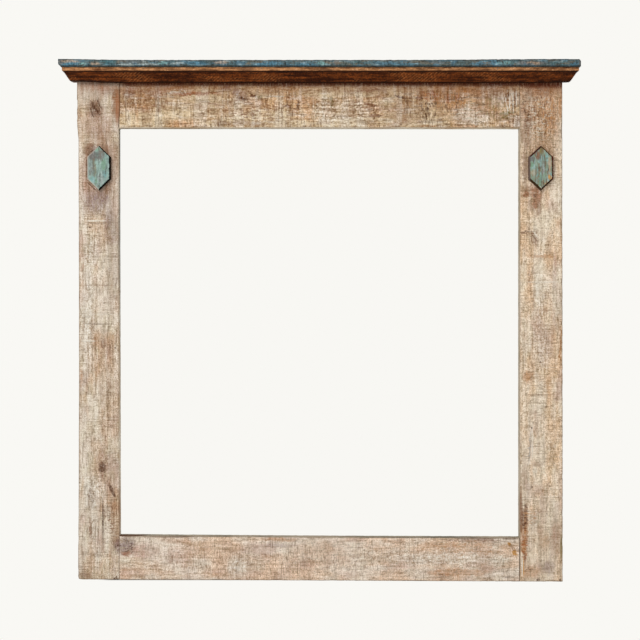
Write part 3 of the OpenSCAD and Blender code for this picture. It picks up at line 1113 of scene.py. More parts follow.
def to_object(bm: bmesh.types.BMesh, name: str) -> bpy.types.Object:
    """Turns a mesh under work into an object of the scene, and frees it.

    Args:
        bm: The mesh under work.
        name: The object's name.

    Returns:
        The new object, at the origin.
    """
    mesh = bpy.data.meshes.new(name)
    bm.to_mesh(mesh)
    bm.free()
    return link(name, mesh)


def link(name: str, data: bpy.types.ID) -> bpy.types.Object:
    """Puts a new object in the scene.

    Args:
        name: Its name.
        data: Its mesh, lamp or camera.

    Returns:
        The object.
    """
    made = bpy.data.objects.new(name, data)
    bpy.context.scene.collection.objects.link(made)
    return made


def carve(bm: bmesh.types.BMesh, cutters: Iterable[Box]) -> bmesh.types.BMesh:
    """Cuts blocks out of a mesh.

    Args:
        bm: The mesh, which is used up.
        cutters: The blocks to cut away.

    Returns:
        The carved mesh.
    """
    body = to_object(bm, "carved")
    tools = [to_object(cutter.mesh(), "cutter") for cutter in cutters]
    for tool in tools:
        step = body.modifiers.new("cut", "BOOLEAN")
        step.operation = "DIFFERENCE"
        step.solver = "EXACT"
        step.object = tool
    graph = bpy.context.evaluated_depsgraph_get()
    carved = bmesh.new()
    carved.from_mesh(body.evaluated_get(graph).to_mesh())
    for used in (body, *tools):
        mesh = used.data
        bpy.data.objects.remove(used)
        bpy.data.meshes.remove(mesh)
    return carved


def extrude(corners: Iterable[Vector], reach: Vector) -> bmesh.types.BMesh:
    """Draws a flat outline out along a straight line.

    Args:
        corners: The outline's corners, in order.
        reach: How far and which way it is drawn out.

    Returns:
        The closed mesh.
    """
    bm = bmesh.new()
    face = bm.faces.new([bm.verts.new(corner) for corner in corners])
    grown = bmesh.ops.extrude_face_region(bm, geom=[face])
    moved = [v for v in grown["geom"] if isinstance(v, bmesh.types.BMVert)]
    bmesh.ops.translate(bm, verts=moved, vec=reach)
    bmesh.ops.recalc_face_normals(bm, faces=bm.faces)
    return bm


def slice_mesh(bm: bmesh.types.BMesh, axis: int, places: Iterable[float]) -> None:
    """Cuts rows of edges into a mesh, square to one axis.

    Args:
        bm: The mesh.
        axis: 0 for X, 1 for Y, 2 for Z.
        places: Where the rows go.
    """
    direction = AXES[axis]
    for place in places:
        geom = [*bm.verts, *bm.edges, *bm.faces]
        bmesh.ops.bisect_plane(
            bm, geom=geom, dist=SAME, plane_co=direction * place, plane_no=direction
        )


def slice_unevenly(
    bm: bmesh.types.BMesh, axis: int, low: float, high: float, pitch: float, seed: int
) -> None:
    """Cuts rows of edges into a mesh that are spaced a little unevenly.

    Args:
        bm: The mesh.
        axis: 0 for X, 1 for Y, 2 for Z.
        low: Start of the stretch.
        high: End of the stretch.
        pitch: Mean distance between rows.
        seed: Seed of the unevenness.
    """
    dice = random.Random(seed)
    count = max(2, round((high - low) / pitch))
    step = (high - low) / count
    slice_mesh(bm, axis, [low + step * (i + dice.uniform(-0.22, 0.22)) for i in range(1, count)])


def ease(value: float, start: float, end: float) -> float:
    """Smooth step from 0 at the start to 1 at the end."""
    share = min(1.0, max(0.0, (value - start) / (end - start)))
    return share * share * (3 - 2 * share)


def rough(point: Vector, size: float, seed: float) -> float:
    """Layered noise from about -1 to 1 with features of that size, in metres."""
    return noise.fractal(point / size + Vector((seed, seed * 1.3, seed * 0.7)), 0.8, 2.1, 3)


def round_edges(
    bm: bmesh.types.BMesh, edges: Iterable[bmesh.types.BMEdge], width: float, rows: int
) -> None:
    """Rounds edges.

    Args:
        bm: The mesh.
        edges: The edges.
        width: Width of the rounding.
        rows: Rows of faces round it.
    """
    bmesh.ops.bevel(
        bm, geom=list(edges), offset=width, affect="EDGES", segments=rows, profile=0.5, material=-1
    )


def break_arrises(
    bm: bmesh.types.BMesh,
    box: Box,
    width: float,
    rows: int = 2,
    kept: Callable[[Vector], bool] = lambda point: False,
) -> None:
    """Rounds the outer arrises of a block.

    Args:
        bm: The mesh.
        box: The block's outer box, whose edges are the arrises.
        width: Width of the rounding.
        rows: Rows of faces round it.
        kept: Tells of an edge's middle whether that edge stays sharp.
    """
    edges = []
    for edge in bm.edges:
        middle = (edge.verts[0].co + edge.verts[1].co) / 2
        is_outer = all(gap < TOUCHING / 10 for gap, _ in box.gaps(middle)[:2])
        if is_outer and edge.is_manifold and edge.calc_face_angle(0.0) > 0.5 and not kept(middle):
            edges.append(edge)
    round_edges(bm, edges, width, rows)


def tidy_mesh(bm: bmesh.types.BMesh) -> None:
    """Splits faces of more than four corners and turns all faces outwards.

    Args:
        bm: The mesh.
    """
    bmesh.ops.remove_doubles(bm, verts=bm.verts, dist=SAME)
    bmesh.ops.dissolve_degenerate(bm, dist=SAME, edges=bm.edges)
    bmesh.ops.triangulate(bm, faces=[f for f in bm.faces if len(f.verts) > 4])
    bmesh.ops.recalc_face_normals(bm, faces=bm.faces)


def show(
    bm: bmesh.types.BMesh, node: str, slot: str, material: bpy.types.Material, sharp: float = 40.0
) -> None:
    """Makes a finished piece that stands for a CAD node and rides on its body.

    Args:
        bm: The piece's mesh, which is used up.
        node: The CAD node that it replaces.
        slot: The record's material slot; not used.
        material: Its finish.
        sharp: Angle in degrees past which an edge stays sharp.
    """
    piece = to_object(bm, f"{node}_worn")
    piece.data.polygons.foreach_set("use_smooth", [True] * len(piece.data.polygons))
    piece.data.set_sharp_from_angle(angle=math.radians(sharp))
    piece.data.materials.append(material)
    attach(piece, BODY)
    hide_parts(node)
    LOG.info("%s: %d faces", piece.name, len(piece.data.polygons))


def dress(material: bpy.types.Material, *nodes: str) -> None:
    """Gives CAD nodes that keep their shape a finish.

    Args:
        material: The finish.
        nodes: The nodes.
    """
    for node in nodes:
        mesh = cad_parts[node].data
        mesh.materials.clear()
        mesh.materials.append(material)
        LOG.info("%s: dressed", node)


# The four frame boards


@dataclass(frozen=True)
class HandFit:
    """How far the front of the hand-made boards strays from square, fading out towards their back.

    left_inner and top_inner are how far the face towards the mirror lies outwards at the top and
    the bottom of the left upright and at the left and the right of the top rail. seams are how
    open the corners are: the two upper ones, then the two lower ones, the left one first.
    """

    box: Box
    opening: Box
    bottom_left_lift: float = 0.0049
    rail_left_lift: float = 0.0052
    rail_right_drop: float = 0.0008
    side_bow: float = 0.0009
    top_flare: float = 0.0033
    foot_flare: float = 0.0007
    right_lean: float = 0.0008
    lean_reach: float = 0.06
    left_inner: tuple[float, float] = (0.0038, 0.0019)
    right_inner: float = 0.0018
    top_inner: tuple[float, float] = (0.0029, 0.0023)
    inner_reach: float = 0.045
    corner: float = 0.005
    under_reach: float = 0.03
    under_height: float = 0.04
    on_face: float = 0.0004
    seams: tuple[float, float, float, float] = (0.95, 0.08, 0.0, 0.75)

    def shift(self, point: Vector) -> Vector:
        """Where a point of the boards really lies, as an offset.

        Args:
            point: The point on the square board.

        Returns:
            The offset.
        """
        low, high = self.box.low, self.box.high
        rail_top = self.opening.low.z
        share = (point.x - low.x) / (high.x - low.x)
        bottom = self.bottom_left_lift * (1 - share)
        rail = self.rail_left_lift * (1 - share) ** 2 - self.rail_right_drop * share
        if point.z <= rail_top:
            lift = bottom + (rail - bottom) * point.z / rail_top
        else:
            lift = rail * ease(point.z, high.z * 0.8, rail_top)
        height = point.z / high.z
        bow = self.side_bow * math.sin(math.pi * min(1.0, height / 0.9)) ** 2
        flare = self.top_flare * ease(height, 0.85, 0.9) + self.foot_flare * ease(height, 0.16, 0.04)
        left = (bow - flare) * ease(point.x, low.x + self.lean_reach, low.x)
        lean = self.right_lean * ease(height, 0.95, 0.3)
        right = lean * ease(point.x, high.x - self.lean_reach, high.x)
        cut = 0.3 * self.corner
        cut *= max(0.0, 1 - (point.x - low.x) / self.corner) * max(0.0, 1 - point.z / self.corner)
        near = 1.0 if self._is_reveal(point) else ease(point.y, self.opening.high.y, low.y)
        near = max(near, ease(point.z, self.under_height, 0.0) * ease(point.y, self.under_reach, low.y))
        return (Vector((left + right + cut, 0.0, lift + cut)) + self._inner(point)) * near

    def _is_reveal(self, point: Vector) -> bool:
        """Tells whether a point lies on the faces round the opening.

        Args:
            point: A point of the boards.

        Returns:
            True on those faces, in front of the glass.
        """
        low, high = self.opening.low, self.opening.high
        gaps = (point.x - low.x, high.x - point.x, point.z - low.z, high.z - point.z)
        on_face = min(abs(gap) for gap in gaps) < self.on_face and min(gaps) > -self.on_face
        return on_face and point.y < high.y + TOUCHING

    def _inner(self, point: Vector) -> Vector:
        """Offset of the faces round the opening, fading out into the boards.

        Args:
            point: The point on the square board.

        Returns:
            The offset, without that of the bottom rail.
        """
        low, high, reach = self.opening.low, self.opening.high, self.inner_reach
        rise = min(1.0, max(0.0, (point.z - low.z) / (high.z - low.z)))
        along = min(1.0, max(0.0, (point.x - low.x) / (high.x - low.x)))
        top, bottom = self.left_inner
        first, last = self.top_inner
        at_left = 1 - ease(abs(point.x - low.x), 0.0, reach)
        at_right = 1 - ease(abs(point.x - high.x), 0.0, reach)
        at_top = 1 - ease(abs(point.z - high.z), 0.0, reach)
        above = 1 - 0.5 * ease(point.z, high.z, high.z + reach)
        sideways = -(bottom + (top - bottom) * rise) * at_left * above - self.right_inner * at_right
        return Vector((sideways, 0.0, (first + (last - first) * along) * at_top))

    def seam(self, point: Vector) -> float:
        """How open and dirty the seam of the nearest corner is, 0 to 1."""
        middle = self.opening.middle
        return self.seams[(0 if point.z > middle.z else 2) + (1 if point.x > middle.x else 0)]

    def beside_opening(self, point: Vector) -> bool:
        """Tells whether a point lies level with the opening or straight above or below it.

        Args:
            point: A point of the boards.

        Returns:
            False at the four corners of the frame.
        """
        low, high = self.opening.low, self.opening.high
        across = low.x - TOUCHING < point.x < high.x + TOUCHING
        return across or low.z - TOUCHING < point.z < high.z + TOUCHING


@dataclass
class Board:
    """One frame board: its node, its finish and the direction of its face towards the opening."""

    node: str
    slot: str
    inner: Vector
    seed: int
    finish: WhitewashedWood
    pitch: float = 0.004
    arris: float = 0.0009
    seam_arris: float = 0.0022
    edge_reach: float = 0.0042
    chip: float = 0.0024
    fray: float = 0.0004
    swell: float = 0.00035
    seam_depth: float = 0.0006
    reveal_edge: float = 0.0011

    @cached_property
    def box(self) -> Box:
        """The board's box."""
        return Box.of_node(self.node)

    def build(self, recess: Sequence[Box], fit: HandFit) -> None:
        """Makes the board.

        Args:
            recess: The blocks cut out of its back for the mirror and the back panel.
            fit: How the boards stray from square.
        """
        box = self.box
        bm = carve(box.mesh(), recess)
        slice_mesh(bm, 2, [fit.opening.low.z, fit.opening.high.z])
        break_arrises(bm, box, self.arris, kept=lambda point: self._meets(point, fit))
        for axis in sorted(range(3), key=lambda axis: -box.size[axis]):
            slice_unevenly(bm, axis, box.low[axis], box.high[axis], self.pitch, self.seed + axis)
        slice_mesh(bm, 1, [box.low.y + self.arris * 2])
        for axis in (0, 2):
            slice_mesh(bm, axis, [box.low[axis] + self.seam_arris, box.high[axis] - self.seam_arris])
        tidy_mesh(bm)
        self._wear(bm, fit)
        show(bm, self.node, self.slot, self.finish.material())

    def _meets(self, point: Vector, fit: HandFit) -> bool:
        """Tells whether a point of the board touches another board or the crown.

        Args:
            point: The point.
            fit: Holds the opening.

        Returns:
            True on the joined faces.
        """
        low, high, near = self.box.low, self.box.high, 2 * TOUCHING
        if point.z > high.z - near and self.inner.z < 0.5 and high.z > fit.opening.high.z:
            return True
        if self.inner.x:
            return self._inner_gap(point) < near and not fit.beside_opening(point)
        return min(point.x - low.x, high.x - point.x) < near

    def _wear(self, bm: bmesh.types.BMesh, fit: HandFit) -> None:
        """Chips the arrises, dents the face and shifts the front out of square.

        Args:
            bm: The sliced board.
            fit: How the boards stray from square.
        """
        names = ("arris", "reveal", "seam")
        arris_layer, reveal_layer, seam_layer = (bm.verts.layers.float.new(name) for name in names)
        dented = [mark for mark in self.finish.marks if mark.dent]
        for vert in bm.verts:
            point = vert.co.copy()
            (first, out), (second, side) = self.box.gaps(point)[:2]
            if first > 1.2 * self.arris:
                continue
            at_edge = 1 - ease(second, 0.0, self.edge_reach)
            meets = self._meets(point, fit) or self._meets(self._onto(point, side), fit)
            back = ease(point.y, -0.002, -0.008)
            front = 1.0 if point.y < self.box.low.y + 1.2 * self.arris else 0.0
            chipped = max(0.0, rough(point, 0.018, self.seed) - 0.12) * self.chip
            fine = (0.5 + 0.5 * rough(point, 0.006, self.seed + 9)) * self.fray
            push = -(out + side) * at_edge * (chipped + fine) * back * (0.0 if meets else 1.0)
            wave = rough(point, 0.03, self.seed + 3) * self.swell
            ripple = rough(Vector((point.x, 0.0, point.z)), 0.009, self.seed + 5) * self.swell * 0.5
            level = 1.0 if meets else 1 - at_edge
            push.y += ((wave + ripple) * level + self.swell) * front
            push.y += sum(mark.depth_at(point) for mark in dented) * front
            if meets:
                seam = (1 - ease(second, 0.0, self.seam_arris)) * fit.seam(point)
                vert[seam_layer] = seam * (0.0 if abs(side.z) > 0.5 and self.inner.x else 1.0)
                push.y += self.seam_depth * vert[seam_layer] * front
            else:
                vert[arris_layer] = at_edge * back
            inside = self._inner_gap(point)
            if fit.beside_opening(point) and inside < 0.002:
                vert[reveal_layer] = 1 - ease(inside, 0.0, self.reveal_edge)
            vert.co = point + push + fit.shift(point)

    def _onto(self, point: Vector, side: Vector) -> Vector:
        """A point moved onto the face of the board in that direction."""
        corner = self.box.high if max(side) > 0 else self.box.low
        return point + side * (corner - point).dot(side)

    def _inner_gap(self, point: Vector) -> float:
        """Distance from a point to the board's face towards the opening."""
        corner = self.box.high if max(self.inner) > 0 else self.box.low
        return abs((point - corner).dot(self.inner))


# The marks on the boards

# The soft brown mark at (-476, 1056) and the rust band at (-478, 1062), right under the crown, are dirt
# with painted shade.
LEFT_STILE_MARKS = (
    *marks(
        Tint.BROWN, Rim.SOFT, (-476, 1056, 70, 56, 0.36), (-472, 900, 60, 95, 0.55),
        (-480, 1012, 30, 36, 0.75, 0, 0.7), (-444, 655, 20, 125, 0.42), (-467, 245, 12, 17, 0.95),
        (-465, 224, 4, 12, 0.75), (-437, 90, 12, 28, 0.5),
    ),
    *marks(Tint.BARK, Rim.SOFT, (-468, 832, 16, 7, 0.4, 35), (-446, 196, 4.5, 22, 0.8, 25)),
    *marks(
        Tint.CREAM, Rim.SOFT, (-497, 1028, 5, 26, 0.6), (-487, 1048, 8, 10, 0.7),
        (-461, 1022, 8, 15, 0.3), (-450, 420, 24, 50, 0.55), (-473, 60, 12, 26, 0.55),
        (-425, 44, 12, 7, 0.8),
    ),
    *marks(Tint.PINK, Rim.SOFT, (-462, 1050, 24, 14, 0.6), (-474, 884, 48, 74, 0.85)),
    *marks(
        Tint.TAN, Rim.SOFT, (-512, 980, 8, 90, 0.5), (-466, 958, 30, 22, 0.6), (-450, 520, 34, 20, 0.6),
    ),
    *marks(
        Tint.RUST, Rim.SOFT, (-500, 850, 14, 22, 0.5), (-508, 672, 6, 14, 0.45),
        (-478, 1062, 56, 20, 0.7), (-455, 926, 16, 14, 0.4),
    ),
    *marks(
        Tint.PURPLE, Rim.SOFT, (-480, 812, 48, 38, 0.75), (-452, 780, 20, 36, 0.6),
        (-474, 976, 62, 40, 0.32), (-487, 926, 14, 12, 0.55), (-470, 819, 34, 22, 0.85),
        (-452, 776, 18, 48, 0.7), (-446, 748, 22, 44, 0.45), (-424, 77, 27, 26, 0.8),
    ),
    *marks(Tint.HONEY, Rim.SOFT, (-439, 1024, 12, 56, 1)),
    *marks(
        Tint.WHITE, Rim.SOFT, (-490, 705, 18, 60, 0.6), (-498, 580, 20, 210, 0.65),
        (-488, 192, 26, 52, 0.85), (-485, 112, 12, 46, 0.7),
    ),
    *marks(Tint.ORANGE, Rim.SOFT, (-511, 440, 5, 27, 0.7)),
    *marks(
        Tint.BARK, Rim.TORN, (-483, 1014, 12, 20, 0.5, 20), (-436, 640, 3, 14, 0.5),
        (-467, 245, 10, 15, 0.6, 0, 0.5), (-464, 140, 4, 24, 0.5, 2), (-436, 6, 5, 6, 0.7),
    ),
    *marks(
        Tint.BROWN, Rim.TORN, (-497, 925, 12, 22, 0.55, -30), (-455, 842, 17, 22, 0.6, 20),
        (-464, 508, 9, 14, 0.6), (-466, 258, 24, 34, 0.25), (-492, 116, 4, 28, 0.6),
        (-502, 14, 20, 12, 0.5),
    ),
    *marks(Tint.WHITE, Rim.TORN, (-484, 165, 6, 16, 0.65)),
    *marks(Tint.BARK, Rim.FLECKS, (-467, 246, 14, 20, 0.85)),
    *marks(Tint.BROWN, Rim.FLECKS, (-448, 130, 18, 54, 0.78)),
    *marks(
        Tint.BARK, Rim.STROKES, (-481, 1012, 22, 28, 0.8), (-491, 185, 17, 36, 0.55),
        (-434, 84, 12, 32, 0.91),
    ),
    *marks(Tint.CREAM, Rim.STROKES, (-465, 1014, 14, 28, 0.4)),
    *marks(Tint.BROWN, Rim.STROKES, (-464, 262, 16, 28, 0.6)),
    # The first three crisp bark lines are a painted shadow line along the left sides of the left
    # hexagon.
    *marks(
        Tint.BARK, Rim.CRISP, (-499.5, 884, 1.6, 27, 0.7), (-487, 844, 19, 1.7, 0.7, -44),
        (-492, 918, 10, 1.7, 0.7, 44), (-485, 1018, 2.4, 16, 0.85, 30), (-479, 1009, 2.4, 18, 0.85, 34),
        (-473, 1022, 2, 14, 0.9, 26), (-489, 1004, 2, 14, 0.8, 20), (-478, 767, 26, 1.3, 0.55),
        (-493, 758, 2.2, 2.2, 0.9), (-474, 551, 40, 1.3, 0.5), (-439, 500, 2, 2, 0.9),
        (-446, 196, 4.5, 20, 0.75, 25), (-465, 128, 1.6, 60, 0.95, 0.5), (-441, 6, 2, 4, 0.95),
        (-434, 6, 1.6, 4, 0.9),
    ),
    *marks(
        Tint.WHITE, Rim.CRISP, (-480, 772, 26, 2.4, 0.75), (-474, 572, 42, 1.7, 0.5),
        (-494, 515, 20, 1.9, 0.6), (-499, 180, 2, 27, 0.8),
    ),
    *marks(Tint.BROWN, Rim.CRISP, (-474, 634, 42, 1.6, 0.45)),
    *marks(Tint.HONEY, Rim.OVER, (-435, 1018, 8, 52, 0.42), (-430.5, 1026, 2.4, 46, 0.7)),
    *marks(Tint.RUST, Rim.OVER, (-434, 1014, 5, 44, 0.45)),
    *marks(Tint.BARK, Rim.OVER, (-431, 720, 2.2, 130, 0.4)),
    *marks(Tint.BROWN, Rim.OVER, (-430, 150, 2.4, 90, 0.5)),
)

RIGHT_STILE_MARKS = (
    *marks(
        Tint.CREAM, Rim.SOFT, (474, 952, 28, 18, 0.55), (452, 938, 18, 16, 0.35),
        (492, 940, 20, 24, 0.6), (480, 300, 26, 60, 0.3), (458, 236, 9, 10, 0.75),
        (455, 210, 4, 5, 0.6), (458, 135, 14, 34, 0.6), (470, 78, 11, 30, 0.6),
    ),
    *marks(
        Tint.ORANGE, Rim.SOFT, (474, 1000, 80, 165, 0.57), (513, 1018, 6, 52, 1),
        (466, 995, 7, 13, 0.8), (478, 1000, 26, 40, 0.42), (494, 530, 12, 32, 0.4),
        (450, 22, 34, 22, 0.6),
    ),
    *marks(Tint.TAN, Rim.SOFT, (488, 700, 8, 60, 0.4), (480, 84, 24, 34, 0.7)),
    *marks(Tint.PINK, Rim.SOFT, (502, 680, 6, 40, 0.5), (476, 900, 34, 56, 0.5)),
    *marks(Tint.WHITE, Rim.SOFT, (474, 505, 32, 70, 0.42), (468, 600, 18, 96, 0.5)),
    # The rust band at (474, 1054), right under the crown, is dirt with painted shade.
    *marks(Tint.RUST, Rim.SOFT, (474, 1054, 46, 11, 0.5), (500, 104, 8, 24, 0.35)),
    *marks(
        Tint.HONEY, Rim.SOFT, (445, 1008, 26, 60, 0.6), (440, 834, 13, 18, 0.8),
        (455, 808, 13, 26, 0.75, -14), (504, 95, 16, 80, 0.65),
    ),
    *marks(Tint.BLUE_GREY, Rim.SOFT, (448, 286, 2.6, 52, 0.7)),
    *marks(Tint.BROWN, Rim.SOFT, (496, 290, 9, 16, 0.35), (438, 225, 12, 70, 0.4)),
    *marks(Tint.PURPLE, Rim.SOFT, (486, 30, 26, 22, 0.55)),
    *marks(
        Tint.BROWN, Rim.TORN, (440, 950, 16, 40, 0.5), (478, 985, 8, 60, 0.35),
        (466, 795, 7, 24, 0.55, -12), (434, 746, 9, 4, 0.6), (459, 732, 11, 18, 0.45, 30),
        (455, 664, 4, 20, 0.5), (443, 976, 15, 14, 0.65), (438, 885, 9, 60, 0.5),
        (448, 640, 3, 40, 0.45, 4), (466, 252, 16, 9, 0.45), (437, 140, 8, 40, 0.6),
    ),
    *marks(
        Tint.RUST, Rim.TORN, (458, 832, 14, 16, 0.65, -30), (464, 815, 9, 26, 0.6, -20),
        (441, 828, 11, 9, 0.6), (436, 80, 7, 44, 0.6),
    ),
    *marks(Tint.BARK, Rim.TORN, (459, 826, 3, 8, 0.6, 20), (452, 202, 4, 6.5, 0.8, 0, 0.8)),
    *marks(
        Tint.ORANGE, Rim.TORN, (472, 696, 42, 5, 0.55), (513, 505, 3.5, 56, 0.8),
        (443, 438, 17, 18, 0.65), (437, 110, 11, 80, 0.75),
    ),
    *marks(
        Tint.BARK, Rim.FLECKS, (440, 1005, 16, 69, 0.78), (436, 140, 14, 46, 0.98),
        (446, 745, 24, 14, 0.72),
    ),
    *marks(Tint.CREAM, Rim.FLECKS, (470, 995, 50, 80, 0.85)),
    *marks(Tint.ORANGE, Rim.FLECKS, (449, 142, 23, 31, 0.6)),
    *marks(Tint.RUST, Rim.FLECKS, (436, 78, 11, 72, 0.91)),
    *marks(Tint.BROWN, Rim.FLECKS, (486, 597, 20, 44, 0.5), (470, 500, 48, 92, 0.4)),
    *marks(Tint.BARK, Rim.STROKES, (475, 1036, 11, 18, 0.5)),
    *marks(Tint.BROWN, Rim.STROKES, (474, 1005, 46, 79, 0.85), (457, 738, 14, 26, 0.85)),
    *marks(Tint.ORANGE, Rim.STROKES, (488, 1005, 31, 73, 0.78)),
    *marks(
        Tint.BARK, Rim.CRISP, (457, 736, 1.4, 16, 0.5, 38), (470, 470, 1.8, 1.8, 0.85),
        (452, 329, 2, 2, 0.85), (437.5, 44, 1.3, 26, 0.6), (450, 26, 14, 1.3, 0.6), (466, 4, 5, 3, 0.9),
        (513, 3, 3, 4, 0.95),
    ),
    *marks(
        Tint.WHITE, Rim.CRISP, (462, 740, 1.5, 18, 0.55, 38), (474, 641, 42, 1.8, 0.55),
        (453, 300, 1.6, 52, 0.55),
    ),
    *marks(
        Tint.BROWN, Rim.CRISP, (456, 600, 2, 30, 0.4, -3), (474, 581, 34, 1.3, 0.45),
        (474, 549, 34, 1.3, 0.45), (474, 400, 42, 1.5, 0.4), (470, 150, 40, 1.5, 0.35),
    ),
    *marks(Tint.BROWN, Rim.OVER, (429, 150, 4.5, 66, 0.7)),
    *marks(Tint.WHITE, Rim.OVER, (431.5, 32, 2.2, 25, 0.8)),
    *marks(Tint.GOLD, Rim.OVER, (434.5, 32, 1.5, 26, 0.8)),
    *marks(Tint.OLIVE, Rim.OVER, (515, 74, 3.5, 34, 0.7)),
)

TOP_RAIL_MARKS = (
    *marks(
        Tint.HONEY, Rim.SOFT, (-360, 1040, 150, 50, 0.4), (-385, 1040, 7, 26, 0.7),
        (277, 1047, 50, 19, 0.6), (176, 1008, 40, 46, 0.6),
    ),
    *marks(
        Tint.ORANGE, Rim.SOFT, (320, 1034, 200, 66, 0.62), (313, 1045, 9, 17, 1),
        (-393, 1010, 7, 38, 0.55), (-40, 1030, 60, 16, 0.4),
    ),
    *marks(Tint.RUST, Rim.SOFT, (-345, 1046, 7, 18, 0.6), (226, 1042, 26, 11, 0.85)),
    *marks(
        Tint.CREAM, Rim.SOFT, (-362, 1044, 15, 12, 0.5), (2.4, 992, 15, 22, 0.75),
        (-1, 1010, 20, 36, 0.7), (55, 1004, 90, 40, 0.5),
    ),
    *marks(
        Tint.PURPLE, Rim.SOFT, (-180, 1047, 12, 17, 0.8), (-202, 1056, 20, 8, 0.8),
        (-172, 1040, 24, 16, 0.6),
    ),
    *marks(Tint.BROWN, Rim.SOFT, (-215, 1014, 90, 34, 0.38)),
    *marks(Tint.WHITE, Rim.SOFT, (322, 996, 56, 34, 0.75)),
    *marks(
        Tint.BROWN, Rim.TORN, (-408, 1044, 22, 16, 0.45), (107, 1020, 20, 4.6, 0.8, -12),
        (117, 996, 24, 5, 0.7, 6), (-71, 1017, 12, 4.6, 0.8), (-172, 980, 90, 8, 0.5),
        (424, 984, 7, 14, 0.6), (420, 980, 7, 12, 0.5),
    ),
    *marks(
        Tint.BARK, Rim.TORN, (-409, 1044, 18, 2.6, 0.6, 4), (211, 1034, 10, 5, 0.75),
        (170, 1037.6, 15, 3.4, 0.85, -8), (119, 1053.7, 19, 2.8, 0.65), (-167, 1033.4, 14, 4, 0.9, -38),
        (-144, 1039, 11, 3.6, 0.85), (-47, 1019.5, 4.5, 12, 0.7),
    ),
    *marks(
        Tint.HONEY, Rim.TORN, (-284, 1042, 22, 4, 0.7), (386, 1040, 24, 13, 0.6),
        (262, 1034, 34, 18, 0.5),
    ),
    *marks(
        Tint.RUST, Rim.TORN, (274, 1033, 7, 14, 0.8), (-268, 1044, 70, 4.5, 0.7),
        (241, 1045, 8, 9, 0.85), (294, 1036, 6, 10, 0.8),
    ),
    *marks(
        Tint.OLIVE, Rim.TORN, (-129, 1035.5, 6, 7, 0.85), (24, 1025, 5, 16, 0.75),
        (400, 1002, 26, 5, 0.75, 6), (392, 992, 20, 4, 0.65, -8),
    ),
    *marks(Tint.PINK, Rim.TORN, (-408, 1046, 14, 18, 0.6)),
    *marks(Tint.CREAM, Rim.TORN, (-306, 1046, 38, 5, 0.85)),
    *marks(
        Tint.ORANGE, Rim.TORN, (311, 1049, 7, 11, 0.95), (322, 973, 20, 6, 0.6), (232, 974, 30, 4, 0.6),
    ),
    *marks(Tint.RUST, Rim.FLECKS, (230, 1040, 39, 18, 1)),
    *marks(Tint.OLIVE, Rim.FLECKS, (394, 1000, 32, 19, 0.98)),
    *marks(
        Tint.BROWN, Rim.FLECKS, (362, 1042, 46, 16, 0.7), (-150, 1010, 151, 46, 0.65),
        (110, 1010, 130, 48, 0.5),
    ),
    *marks(Tint.CREAM, Rim.FLECKS, (314, 1002, 46, 36, 0.75)),
    *marks(
        Tint.BARK, Rim.STROKES, (230, 1012, 32, 53, 1), (408, 1030, 22, 39, 0.9),
        (282, 1016, 46, 38, 0.5),
    ),
    *marks(Tint.ORANGE, Rim.STROKES, (300, 1036, 31, 29, 1), (245, 1030, 60, 26, 0.6)),
    *marks(Tint.WHITE, Rim.STROKES, (404, 1026, 25, 42, 0.85)),
    *marks(Tint.BROWN, Rim.STROKES, (-360, 1030, 92, 42, 0.65)),
    *marks(Tint.OLIVE, Rim.STROKES, (372, 1012, 44, 44, 0.7)),
    *marks(
        Tint.BARK, Rim.CRISP, (228, 1015, 1.4, 34, 0.55), (-384, 1042, 1.3, 30, 0.55),
        (-347, 1018, 1.2, 50, 0.6), (-416, 1008, 1.3, 36, 0.4), (-89, 1018, 1.2, 50, 0.5),
        (192, 1034, 30, 1.6, 0.55, 5), (188, 1028, 26, 1.4, 0.5, -4), (416, 1034, 1.2, 26, 0.55),
    ),
    *marks(
        Tint.WHITE, Rim.CRISP, (-95, 1038, 22, 1.8, 0.8), (-330, 1037, 26, 2, 0.35),
        (405, 1032, 1.7, 26, 0.7), (412, 1026, 1.7, 30, 0.7), (419, 1034, 1.7, 22, 0.7),
    ),
    *marks(Tint.BROWN, Rim.CRISP, (-230, 1022, 40, 1.6, 0.55, -9), (95, 1050, 66, 2, 0.5, 2)),
    *marks(Tint.HONEY, Rim.OVER, (-430.5, 1026, 2.2, 46, 0.7)),
)

